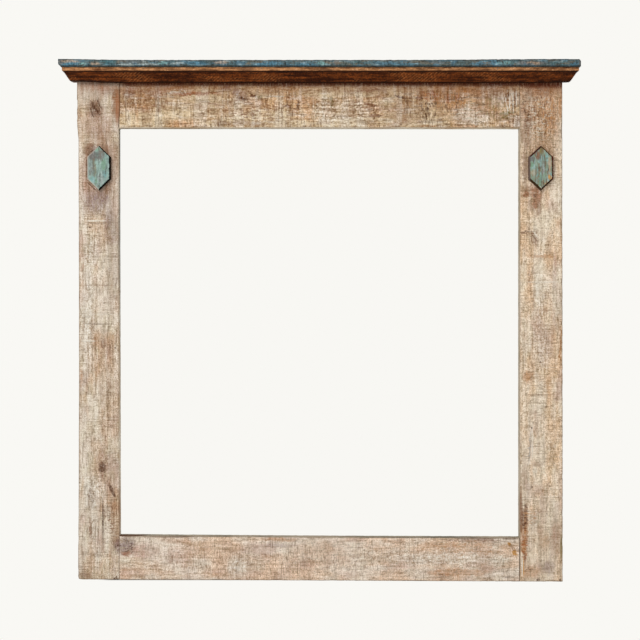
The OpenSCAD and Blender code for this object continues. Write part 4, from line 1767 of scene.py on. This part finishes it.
BOTTOM_RAIL_MARKS = (
    *marks(Tint.PURPLE, Rim.SOFT, (-419, 76, 32, 30, 0.66), (-88, 78, 56, 7, 0.5)),
    *marks(Tint.BARK, Rim.SOFT, (-412, 82, 24, 18, 0.5, 0, 0.4)),
    *marks(Tint.BROWN, Rim.SOFT, (-418, 60, 12, 6, 0.7), (-321, 44, 7, 14, 0.5)),
    *marks(
        Tint.CREAM, Rim.SOFT, (-425, 44, 12, 7, 0.8), (-412, 42, 22, 14, 0.6), (-254, 32, 30, 18, 0.7),
        (-134, 40, 24, 28, 0.5), (96, 56, 34, 22, 0.45), (381, 44, 44, 20, 0.8),
    ),
    *marks(Tint.PINK, Rim.SOFT, (-378, 66, 46, 26, 0.75), (-300, 60, 60, 22, 0.45)),
    *marks(Tint.WHITE, Rim.SOFT, (-174, 34, 38, 36, 0.8), (260, 50, 190, 22, 0.7)),
    *marks(Tint.ORANGE, Rim.SOFT, (0, 60, 80, 44, 0.35)),
    *marks(Tint.RUST, Rim.TORN, (-414, 60, 16, 8, 0.5)),
    *marks(
        Tint.BROWN, Rim.TORN, (-246, 70, 24, 9, 0.25), (150, 30, 20, 12, 0.35), (330, 88, 96, 3, 0.6),
    ),
    *marks(
        Tint.ORANGE, Rim.TORN, (-88, 91, 52, 6, 0.6), (296, 20, 92, 11, 0.62), (310, 78, 120, 8, 0.4),
    ),
    *marks(Tint.GOLD, Rim.TORN, (405, 81, 8, 6, 0.9, -30), (416, 62, 6, 9, 0.9, 28)),
    *marks(Tint.BARK, Rim.FLECKS, (-412, 78, 28, 25, 0.85)),
    *marks(Tint.ORANGE, Rim.FLECKS, (300, 70, 147, 30, 0.5)),
    *marks(Tint.BROWN, Rim.STROKES, (-250, 50, 196, 52, 0.45), (60, 50, 210, 51, 0.45)),
    *marks(Tint.SLATE, Rim.STROKES, (-410, 88, 17, 9, 0.5)),
    *marks(
        Tint.BARK, Rim.CRISP, (270, 90, 22, 1.6, 0.5, -3), (-340, 2, 50, 1.6, 0.7),
        (200, 2, 34, 1.6, 0.7), (404, 10, 16, 3, 0.45), (-282, 20, 1.2, 18, 0.35),
        (-180, 24, 1.2, 20, 0.35),
    ),
    *marks(Tint.BROWN, Rim.CRISP, (410, 72, 1.4, 20, 0.6, 32)),
    *marks(
        Tint.BARK, Rim.OVER, (-408, 99.4, 44, 3.2, 1), (-320, 96, 80, 2.2, 0.55), (330, 92, 60, 3, 0.5),
        (405, 92, 22, 3, 0.45),
    ),
)


@dataclass
class BoardFrame:
    """The two uprights and the two rails round the mirror."""

    mirror_play: float = 0.002
    panel_play: float = 0.001
    cut_past: float = 0.002

    def build(self) -> None:
        """Makes the four boards."""
        recess = [self._cut("mirror_plate", self.mirror_play), self._cut("back_panel", self.panel_play)]
        left, right = Box.of_node("stile_left"), Box.of_node("stile_right")
        mirror_front = Box.of_node("mirror_plate").low.y
        opening = Box(
            Vector((left.high.x, left.low.y, Box.of_node("rail_bottom").high.z)),
            Vector((right.low.x, mirror_front, Box.of_node("rail_top").low.z)),
        )
        fit = HandFit(Box(left.low, right.high), opening)
        for board in self._boards():
            board.build(recess, fit)

    def _cut(self, node: str, play: float) -> Box:
        """Works out the block that is cut out of the boards' back for a piece.

        Args:
            node: The piece's node.
            play: The play round it.

        Returns:
            The block, which ends behind the boards.
        """
        box = Box.of_node(node)
        high = Vector((box.high.x + play, self.cut_past, box.high.z + play))
        return Box(box.low - Vector((play, 0.0, play)), high)

    @staticmethod
    def _boards() -> tuple[Board, ...]:
        """Lists the boards with their finishes.

        Returns:
            The four boards.
        """
        left = WhitewashedWood(
            "whitewashed_stile_left", Grain.UPRIGHT, 11.0, LEFT_STILE_MARKS,
            wash_warm="#d4b99e", wash_pale="#e6d8c5", lined=0.78, sooted=-0.1, patched=0.21,
        )
        right = WhitewashedWood(
            "whitewashed_stile_right", Grain.UPRIGHT, 47.0, RIGHT_STILE_MARKS,
            wash_warm="#efcda9", wash_pale="#f9e8d0", line="#7c6246", lined=0.5, straw=0.2,
            contrast=0.86, sooted=0.4, patched=0.17, rusty=0.35,
            reveal_light="#bcae9b", reveal_dark="#a0937c",
        )
        top = WhitewashedWood(
            "whitewashed_rail_top", Grain.LEVEL, 83.0, TOP_RAIL_MARKS,
            wash_warm="#d3a97d", wash_pale="#e3cba6", bare="#7c4c26", worn=0.02,
            line="#704f33", lined=0.48, sawn=0.85, column=24.0, banded=0.62, contrast=0.84,
            sooted=0.4, patched=0.32,
        )
        bottom = WhitewashedWood(
            "whitewashed_rail_bottom", Grain.LEVEL, 121.0, BOTTOM_RAIL_MARKS,
            wash_warm="#ebcdb2", wash_pale="#f4e5d4", line="#7c644c", lined=0.34, sawn=0.8,
            straw=0.15, contrast=0.9, patched=0.16, rusty=0.3,
            reveal_light="#ab9d88", reveal_dark="#6f6a5a",
        )
        return (
            Board("stile_left", "whitewashed_stile", RIGHT, 3, left),
            Board("stile_right", "whitewashed_stile", LEFT, 17, right),
            Board("rail_top", "whitewashed_rail", DOWN, 29, top),
            Board("rail_bottom", "whitewashed_rail", UP, 41, bottom),
        )


# The crown

CROWN_MARKS = worn_spots(
    (Tint.SLATE, -550, 1103, 10, 12, 0.7), (Tint.TAN, -530, 1107, 26, 4, 0.45),
    (Tint.BLUE, -526, 1099, 34, 5, 0.8), (Tint.TEAL, -503, 1100, 9, 6, 0.9),
    (Tint.TAN, -476, 1101, 13, 5, 0.5), (Tint.DEEP_TEAL, -446, 1105, 24, 7, 0.8),
    (Tint.CHALK, -412, 1099, 26, 4, 0.8), (Tint.SLATE, -400, 1106, 40, 5, 0.5),
    (Tint.CHALK, -366, 1100, 30, 4, 0.6), (Tint.TEAL, -334, 1103, 14, 4, 0.6),
    (Tint.TAN, -338, 1109, 16, 3, 0.5), (Tint.CHALK, -302, 1102, 18, 4, 0.5),
    (Tint.BLUE, -262, 1102, 26, 7, 0.7), (Tint.TAN, -210, 1104, 20, 5, 0.45),
    (Tint.BLUE, -110, 1101, 44, 7, 0.75), (Tint.BLUE, -28, 1099, 32, 4, 0.75),
    (Tint.TEAL, 4, 1103, 14, 6, 0.7), (Tint.SLATE, 34, 1104, 8, 8, 0.85, -35),
    (Tint.DEEP_TEAL, 74, 1104, 14, 6, 0.6), (Tint.BLUE, 180, 1102, 40, 6, 0.55),
    (Tint.SLATE, 246, 1104, 34, 4, 0.5), (Tint.BLUE, 352, 1102, 42, 7, 0.9),
    (Tint.TEAL, 390, 1103, 24, 4, 0.55), (Tint.SLATE, 446, 1103, 40, 7, 0.75),
    (Tint.TAN, 450, 1103, 18, 4, 0.5), (Tint.DEEP_TEAL, 504, 1103, 26, 6, 0.45),
    (Tint.BLUE, 536, 1101, 14, 5, 0.7), (Tint.SLATE, 550, 1102, 5, 10, 0.8),
)


@dataclass
class Crown:
    """The painted top board and the stained moulding under it."""

    pitch: float = 0.004
    arris: float = 0.0007
    chip: float = 0.0018
    fray: float = 0.0005
    rub: float = 0.0003
    end_reach: float = 0.15
    left_reach: float = 0.0026
    right_loss: float = 0.0010
    left_undercut: float = 0.009
    left_rise: float = 0.002
    right_rise: float = 0.002
    corner_loss: float = 0.0045
    foot_lift: tuple[float, float] = (0.003, 0.0012)
    return_rise: tuple[float, float] = (0.0028, 0.0048)
    foot_spread: tuple[float, float] = (0.0039, 0.0022)
    nail_dimple: float = 0.0004
    dimple_reach: float = 0.008
    brad_reach: float = 0.005
    brad_xs: tuple[float, ...] = (-0.375, -0.125, 0.125, 0.375)
    nail_xs: tuple[float, ...] = (-0.4725, -0.25, 0.0, 0.25, 0.4725)
    slope_top_out: float = 0.028
    slope_foot_out: float = 0.012
    strip_height: float = 0.0085

    @cached_property
    def front(self) -> Box:
        """Box of the front length of moulding."""
        return Box.of_node("moulding_front")

    @cached_property
    def boards(self) -> Box:
        """Box of the four frame boards."""
        return Box(Box.of_node("stile_left").low, Box.of_node("stile_right").high)

    @cached_property
    def strip_z(self) -> float:
        """Height of the underside of the top strip."""
        return self.front.high.z - self.strip_height

    def build(self) -> None:
        """Makes the top board and the three lengths of moulding."""
        self._top_board()
        heights = (self.strip_z, self.front.low.z, self.front.high.z)
        stain = StainedMoulding("stained_wood", 7.0, *heights).material()
        for node in ("moulding_front", "moulding_return_left", "moulding_return_right"):
            self._moulding(node, stain)

    def _top_board(self) -> None:
        """Makes the painted top board with chipped arrises and undercut ends."""
        box = Box.of_node("crown_board")
        bm = box.mesh()
        break_arrises(bm, box, self.arris, 3)
        for axis, pitch in enumerate((self.pitch, self.pitch, self.pitch * 0.6)):
            slice_unevenly(bm, axis, box.low[axis], box.high[axis], pitch, 61 + axis)
        tidy_mesh(bm)
        layer = bm.verts.layers.float.new("arris")
        low, high = box.low, box.high
        for vert in bm.verts:
            point = vert.co.copy()
            (_, out), (second, side) = box.gaps(point)[:2]
            at_edge = 1 - ease(second, 0.0, 0.004)
            chipped = max(0.0, rough(point, 0.014, 71) - 0.1) * self.chip
            fine = (0.5 + 0.5 * rough(point, 0.005, 77)) * self.fray
            push = -(out + side) * at_edge * (chipped + fine) * (0.0 if point.y > -0.004 else 1.0)
            if point.z > low.z + 0.002:
                push -= out * (0.4 + 0.6 * rough(point, 0.02, 73)) * self.rub
            height = (point.z - low.z) / (high.z - low.z)
            left = ease(point.x, low.x + self.end_reach, low.x)
            right = ease(point.x, high.x - self.end_reach, high.x)
            push.x -= self.left_reach * left + self.right_loss * right
            corner = ease(height, 0.7, 1.0) * ease(point.x, high.x - 0.008, high.x)
            push.x -= self.corner_loss * corner
            push.x += self.left_undercut * ease(point.x, low.x + 0.012, low.x) * ease(height, 0.28, 0.0)
            sweep = ease(point.x, high.x - 0.4, high.x)
            push.z += (self.left_rise * left + self.right_rise * sweep) * height
            if out == UP:
                near = min(math.dist((x, self.boards.low.y / 2), point.xy) for x in self.nail_xs)
                push.z -= self.nail_dimple * (1 - ease(near, 0.0, self.dimple_reach))
            vert[layer] = at_edge
            vert.co = point + push
        paint = WornPaint(
            "blue_painted_wood", Grain.LEVEL, 5.0, ("#515c5a", "#53696e", "#587582"),
            wood="#857d6e", dirt_and_shade="#30393b", rubbed=-0.02, marks=CROWN_MARKS, specked=2.4, hatched=2.2,
        )
        show(bm, "crown_board", "blue_painted_wood", paint.material())

    def _moulding(self, node: str, stain: bpy.types.Material) -> None:
        """Makes one length of moulding from its section, mitred against its neighbours.

        Args:
            node: The CAD node that it replaces.
            stain: Its finish.
        """
        box, front, boards = Box.of_node(node), self.front, self.boards
        strip_out = boards.low.y - front.low.y
        section = [
            (0.0, front.low.z), (self.slope_foot_out, front.low.z), (self.slope_top_out, self.strip_z),
            (strip_out, self.strip_z), (strip_out, front.high.z), (0.0, front.high.z),
        ]
        is_front = node == "moulding_front"
        if is_front:
            corners = [Vector((front.low.x, boards.low.y - out, z)) for out, z in section]
            way, reach = RIGHT, front.size.x
        else:
            edge, side = (boards.high.x, 1.0) if box.high.x > 0 else (boards.low.x, -1.0)
            corners = [Vector((edge + side * out, front.low.y, z)) for out, z in section]
            way, reach = BACK, -front.low.y
        bm = extrude(corners, way * reach)
        ridges = [
            e for e in bm.edges
            if abs((e.verts[0].co - e.verts[1].co).normalized().dot(way)) > 0.99
            and abs(e.verts[0].co.z - front.high.z) > SAME
            and max(self._outward(v.co) for v in e.verts) > 0.001
        ]
        round_edges(bm, ridges, self.arris, 2)
        for vert in bm.verts:
            self._mitre(vert.co, is_front)
        axis = 0 if is_front else 1
        slice_unevenly(bm, axis, box.low[axis], box.high[axis], self.pitch, 91)
        slice_unevenly(bm, 2, box.low.z, self.strip_z, 0.0036, 93)
        slice_mesh(bm, 2, [self.strip_z + self.strip_height / 2])
        tidy_mesh(bm)
        self._rub(bm, box)
        show(bm, node, "stained_wood", stain, 28.0)

    def _outward(self, point: Vector) -> float:
        """How far a point stands out from the front or the ends of the boards."""
        low, high = self.boards.low, self.boards.high
        return max(low.y - point.y, low.x - point.x, point.x - high.x)

    def _mitre(self, point: Vector, is_front: bool) -> None:
        """Moves an end of the extruded section to its mitre plane.

        Args:
            point: The corner, which is changed.
            is_front: Whether it belongs to the front length.
        """
        low, high = self.boards.low, self.boards.high
        if is_front:
            out = low.y - point.y
            point.x = high.x + out if point.x > 0 else low.x - out
        elif point.y < low.y / 2:
            point.y = low.y - abs(point.x - (high.x if point.x > 0 else low.x))

    def _rub(self, bm: bmesh.types.BMesh, box: Box) -> None:
        """Wears the moulding a little and marks its ridges.

        Args:
            bm: The sliced moulding.
            box: Its box.
        """
        front, boards, strip_z = self.front, self.boards, self.strip_z
        layer = bm.verts.layers.float.new("arris")
        brad_z = (strip_z + front.high.z) / 2
        for vert in bm.verts:
            point = vert.co.copy()
            out = self._outward(point)
            on_strip_edge = 1 - ease(abs(point.z - strip_z), 0.0, 0.0016)
            on_foot = 1 - ease(math.dist((out, point.z), (self.slope_foot_out, box.low.z)), 0.0, 0.003)
            vert[layer] = max(on_strip_edge * ease(out, 0.027, 0.0295), on_foot * 0.3)
            if out > 0.002 and point.z < front.high.z - TOUCHING:
                amount = 0.00012 + 0.00022 * rough(point, 0.03, 79)
                amount += max(0.0, rough(point, 0.012, 83) - 0.25) * 0.0012 * vert[layer]
                vert.co = point - vert.normal * amount
            if abs(point.y - front.low.y) < TOUCHING:
                near = min(math.dist((x, brad_z), (point.x, point.z)) for x in self.brad_xs)
                vert.co.y += self.nail_dimple * (1 - ease(near, 0.0, self.brad_reach))
            low = 1 - ease(point.z, box.low.z, strip_z)
            row = 1 if point.x > 0 else 0
            at_end = ease(abs(point.x), 0.43, 0.52) * self.foot_lift[row]
            if box != front:
                at_end += ease(point.y, front.low.y * 0.6, boards.high.y) * self.return_rise[row]
            vert.co.z += at_end * low
            past = ease(abs(point.x), boards.high.x, boards.high.x + 0.01)
            vert.co.x += math.copysign(self.foot_spread[row] * past * low, point.x)


# The hexagons

LEFT_HEXAGON_MARKS = worn_spots(
    (Tint.SLATE, -482, 909, 15, 14, 0.95), (Tint.SLATE, -469, 911, 11, 12, 0.7),
    (Tint.GREEN, -476, 926, 7, 7, 0.8), (Tint.OLIVE, -482, 884, 4.5, 25, 0.5, 3),
    (Tint.SLATE, -483, 880, 3, 20, 0.5), (Tint.CHALK, -490, 882, 6, 20, 0.6),
    (Tint.GREEN, -462, 891, 8, 16, 0.8), (Tint.TEAL, -460, 871, 8, 10, 0.8),
    (Tint.TEAL, -485, 859, 8, 8, 0.7), (Tint.GREEN, -478, 856, 3, 12, 0.8),
    (Tint.CHALK, -468, 862, 9, 18, 0.5),
)
RIGHT_HEXAGON_MARKS = worn_spots(
    (Tint.BROWN, 463, 912, 8, 16, 0.95, 14), (Tint.OLIVE, 471, 922, 6, 12, 0.9),
    (Tint.SLATE, 452, 903, 7, 8, 0.95), (Tint.TEAL, 480, 905, 7, 11, 0.6),
    (Tint.GREEN, 450, 891, 5, 8, 0.9), (Tint.TAN, 454, 874, 8, 9, 0.45),
    (Tint.SLATE, 460, 868, 3, 24, 0.5), (Tint.BLUE_GREY, 475, 886, 5, 18, 0.5),
    (Tint.PURPLE, 474, 876, 3, 10, 0.4), (Tint.GREEN, 467, 860, 5, 26, 0.8),
    (Tint.TEAL, 464, 864, 4, 12, 0.6), (Tint.TAN, 489, 890, 4.5, 22, 0.75),
    (Tint.GOLD, 489, 864, 5, 9, 0.9, 20), (Tint.GOLD, 482, 853, 6, 3, 0.5, 42),
    (Tint.CREAM, 469, 841, 4, 5, 0.7),
)


@dataclass(frozen=True)
class HexagonShape:
    """Outline of a pointed hexagon: its box and the height of its points over the shoulders."""

    box: Box
    point: float

    @property
    def half_width(self) -> float:
        """Half its width."""
        return self.box.high.x - self.box.middle.x

    @property
    def shoulder(self) -> float:
        """Height of the shoulders over the middle."""
        return self.box.high.z - self.box.middle.z - self.point

    @property
    def slope(self) -> float:
        """Slope of the sides of its points."""
        return self.point / self.half_width

    def corners(self) -> list[Vector]:
        """Works out the outline of its back.

        Returns:
            The corners, from the upper point by the left side.
        """
        low, middle, high = self.box.low, self.box.middle, self.box.high
        upper, lower = middle.z + self.shoulder, middle.z - self.shoulder
        places = (
            (middle.x, high.z), (low.x, upper), (low.x, lower),
            (middle.x, low.z), (high.x, lower), (high.x, upper),
        )
        return [Vector((x, high.y, z)) for x, z in places]

    def inside(self, point: Vector) -> float:
        """Works out how far a point of the face lies inside the nearest side.

        Args:
            point: The point.

        Returns:
            The distance.
        """
        across = abs(point.x - self.box.middle.x)
        height = self.shoulder + (self.point - self.slope * across)
        below = (height - abs(point.z - self.box.middle.z)) / math.hypot(1.0, self.slope)
        return min(self.half_width - across, below)


@dataclass
class Hexagons:
    """The two pointed hexagons on the uprights."""

    point_height: float = 0.024
    bevel: float = 0.0022
    pitch: float = 0.003
    right_spread: tuple[float, float] = (0.0034, -0.0006)

    def build(self) -> None:
        """Makes both hexagons."""
        left_box, right_box = Box.of_node("hexagon_left"), Box.of_node("hexagon_right")
        more_left, more_right = (RIGHT * spread for spread in self.right_spread)
        right_box = Box(right_box.low - more_left, right_box.high + more_right)
        left = HexagonPaint(
            "green_painted_wood_left", Grain.UPRIGHT, 19.0, ("#85928b", "#8ba39b", "#97b0a7"),
            wood="#857a70", dirt_and_shade="#3f3a33", rubbed=-0.01, marks=LEFT_HEXAGON_MARKS,
            specked=1.0, hatched=0.3,
            # On the left hexagon the pale lines on the left sides are painted highlights and the
            # near-black lines on the right sides painted shadow with some dirt.
            left=Outline(2.8, "#b3aaa0", 0.85),
            upper_left=Outline(2.4, "#a89d93", 0.8),
            lower_left=Outline(2.8, "#b8b3a6", 0.8),
            right=Outline(3.5, "#0e0401", 1.0),
            upper_right=Outline(2.2, "#1c1006", 1.0),
            lower_right=Outline(3.1, "#070301", 1.0),
            shape=HexagonShape(left_box, self.point_height),
        )
        right = HexagonPaint(
            "green_painted_wood_right", Grain.UPRIGHT, 31.0, ("#86937f", "#8ca190", "#94b0aa"),
            wood="#a08a70", dirt_and_shade="#5d4434", rubbed=0.0, marks=RIGHT_HEXAGON_MARKS,
            specked=0.9, hatched=0.3,
            # On the right hexagon the dark lines round the sides are worn dark edges with painted
            # shade.
            left=Outline(3.4, "#675650", 0.97),
            upper_left=Outline(3.6, "#452a20", 1.0),
            lower_left=Outline(3.8, "#3d2a14", 1.0),
            right=Outline(3.4, "#481404", 1.0),
            upper_right=Outline(3.0, "#523a1c", 1.0),
            lower_right=Outline(3.6, "#2f1200", 1.0),
            shape=HexagonShape(right_box, self.point_height),
        )
        self._hexagon("hexagon_left", left, 101)
        self._hexagon("hexagon_right", right, 103)

    def _hexagon(self, node: str, paint: HexagonPaint, seed: int) -> None:
        """Makes one hexagon with a softly bevelled face.

        Args:
            node: The CAD node that it replaces.
            paint: Its finish, which knows its shape.
            seed: Seed of its wear.
        """
        shape, box = paint.shape, paint.shape.box
        bm = extrude(shape.corners(), BACK * -box.size.y)
        front_edges = [e for e in bm.edges if all(abs(v.co.y - box.low.y) < SAME for v in e.verts)]
        round_edges(bm, front_edges, self.bevel, 3)
        for step, axis in enumerate((2, 0, 1)):
            slice_unevenly(bm, axis, box.low[axis], box.high[axis], self.pitch, seed + step)
        tidy_mesh(bm)
        for vert in bm.verts:
            point = vert.co.copy()
            bevelled = 1 - ease(shape.inside(point), 0.0, self.bevel)
            if point.y < box.high.y - TOUCHING:
                chipped = 0.0005 * bevelled * max(0.0, rough(point, 0.009, seed + 5))
                wear = 0.0001 + 0.00025 * rough(point, 0.012, seed) + chipped
                vert.co = point - vert.normal * wear
        show(bm, node, "green_painted_wood", paint.material(), 50.0)


# Pieces that keep the shape of their CAD node


@dataclass
class MirrorAndBack:
    """The mirror plate, what holds it, and the fixings."""

    def build(self) -> None:
        """Dresses the nodes of the mirror, the battens, the back panel and all fixings."""
        dress(SilveredGlass("mirror_glass", Box.of_node("mirror_plate")).material(), "mirror_plate")
        upright = PlainWood("batten_wood_upright", Grain.UPRIGHT, 61.0)
        dress(upright.material(), "batten_left", "batten_right")
        level = PlainWood("batten_wood_level", Grain.LEVEL, 67.0)
        dress(level.material(), "batten_top", "batten_bottom")
        dowel = PlainWood("dowel_wood", Grain.LEVEL, 71.0, "#dfc393", "#c19c68")
        dress(dowel.material(), "corner_dowels")
        dress(FibreBoard("panel_board", 5.0).material(), "back_panel")
        nail = WornMetal("nail_steel", 3.0, "#8d8a86", "#55524f", "#5b3a26", 0.7, 0.38)
        dress(nail.material(), "crown_nails", "moulding_brads", "hexagon_pins", "batten_brads")
        screw = WornMetal("screw_metal", 9.0, "#d9c48c", "#a98f58", "#6b5230", 0.35, 0.26)
        dress(screw.material(), "back_panel_screws", "hanger_screws")
        dress(Rubber("rubber", 2.0).material(), "setting_blocks", "bumper_left", "bumper_right")


@dataclass
class Hangers:
    """The straps and their swinging rings."""

    def build(self) -> None:
        """Dresses the straps and rings as plated steel."""
        plated = WornMetal("hanger_metal", 13.0, "#d4d2cc", "#a09c94", "#6f6350", 0.3, 0.24)
        nodes = [f"hanger_{part}_{side}" for part in ("strap", "ring") for side in ("left", "right")]
        dress(plated.material(), *nodes)


# The studio


@dataclass
class Studio:
    """Pale floor, plain backdrop, soft light and the camera."""

    backdrop: str = "#f9f8f4"
    camera_distance: float = 3.0
    camera_height: float = 0.5598
    camera_side: float = -0.0009
    lens: float = 78.93
    sensor: float = 36.0
    sky_light: float = 0.55
    key_watts: float = 62.0
    key_place: Triple = (-1.7, -2.9, 2.6)
    key_size: float = 1.4
    floor_size: float = 40.0
    floor_drop: float = 0.0002
    floor_albedo: float = 0.93
    shadow_half_width: float = 0.45
    shadow_reach: float = 0.03

    def build(self) -> None:
        """Sets up the whole studio."""
        self._world()
        self._floor()
        self._key_light()
        self._camera()
        bpy.context.scene.view_settings.view_transform = "Standard"

    @staticmethod
    def _is_seen(shader: Shader) -> Wire:
        """1 for camera, glossy and transmission rays, 0 for the others."""
        seen = shader.add("ShaderNodeLightPath", result="Is Camera Ray")
        return seen.larger(seen.beside("Is Glossy Ray")).larger(seen.beside("Is Transmission Ray"))

    def _world(self) -> None:
        """Makes the world: the backdrop's colour where it is seen, plain light elsewhere."""
        shader = Shader("studio", is_world=True)
        grey = (self.sky_light,) * 3 + (1.0,)
        light = shader.lay(grey, (self.backdrop, self._is_seen(shader)))
        background = shader.add("ShaderNodeBackground", values={"Color": light})
        bpy.context.scene.world = shader.close(background)

    def _floor(self) -> None:
        """Makes the floor, which keeps the object's shadow close to it and melts into the backdrop."""
        bm = bmesh.new()
        drop = Matrix.Translation(DOWN * self.floor_drop)
        bmesh.ops.create_grid(bm, x_segments=1, y_segments=1, size=self.floor_size / 2, matrix=drop)
        floor = to_object(bm, "floor")
        floor.data.materials.append(self._floor_material())

    def _floor_material(self) -> bpy.types.Material:
        """The floor's material.

        Returns:
            A pale matt surface near the object that turns into the plain backdrop further away.
        """
        shader = Shader("floor")
        x, y, _ = shader.axes
        aside = (abs(x) - self.shadow_half_width).larger(0.0)
        behind = ((-0.003 - y) * 4.0).larger(y * 0.25).larger(0.0)
        far = shader.length(shader.join(aside, behind, 0.0)).ease(0.0, self.shadow_reach)
        paint = tuple(c * self.floor_albedo for c in tone(self.backdrop)[:3]) + (1.0,)
        matt = shader.add("ShaderNodeBsdfDiffuse", values={"Color": paint})
        glow = shader.add("ShaderNodeEmission", values={"Color": self.backdrop, "Strength": 1.0})
        values = {"Fac": self._is_seen(shader) * far, "Shader": matt, "Shader_001": glow}
        return shader.close(shader.add("ShaderNodeMixShader", values=values))

    def _key_light(self) -> None:
        """Makes the soft key light from the upper left."""
        lamp = bpy.data.lights.new("key", "AREA")
        lamp.shape = "SQUARE"
        lamp.size = self.key_size
        lamp.energy = self.key_watts
        key = link("key", lamp)
        key.location = self.key_place
        target = (CAD_BOX[0] + CAD_BOX[1]) / 2
        key.rotation_euler = (target - Vector(self.key_place)).to_track_quat("-Z", "Y").to_euler()
        key.visible_glossy = False
        key.visible_camera = False

    def _camera(self) -> None:
        """Makes the camera, level and square to the frame."""
        data = bpy.data.cameras.new("camera")
        data.lens = self.lens
        data.sensor_width = self.sensor
        data.clip_end = 100.0
        camera = link("camera", data)
        front_y = Box.of_node("stile_left").low.y
        camera.location = (self.camera_side, front_y - self.camera_distance, self.camera_height)
        camera.rotation_euler = (math.radians(90), 0.0, 0.0)
        bpy.context.scene.camera = camera


def main() -> None:
    """Builds the studio and every sub-assembly."""
    logging.basicConfig(level=logging.INFO, format="%(message)s")
    for part in (Studio(), BoardFrame(), Crown(), Hexagons(), MirrorAndBack(), Hangers()):
        LOG.info("building %s", type(part).__name__)
        part.build()


if __name__ == "__main__":
    main()
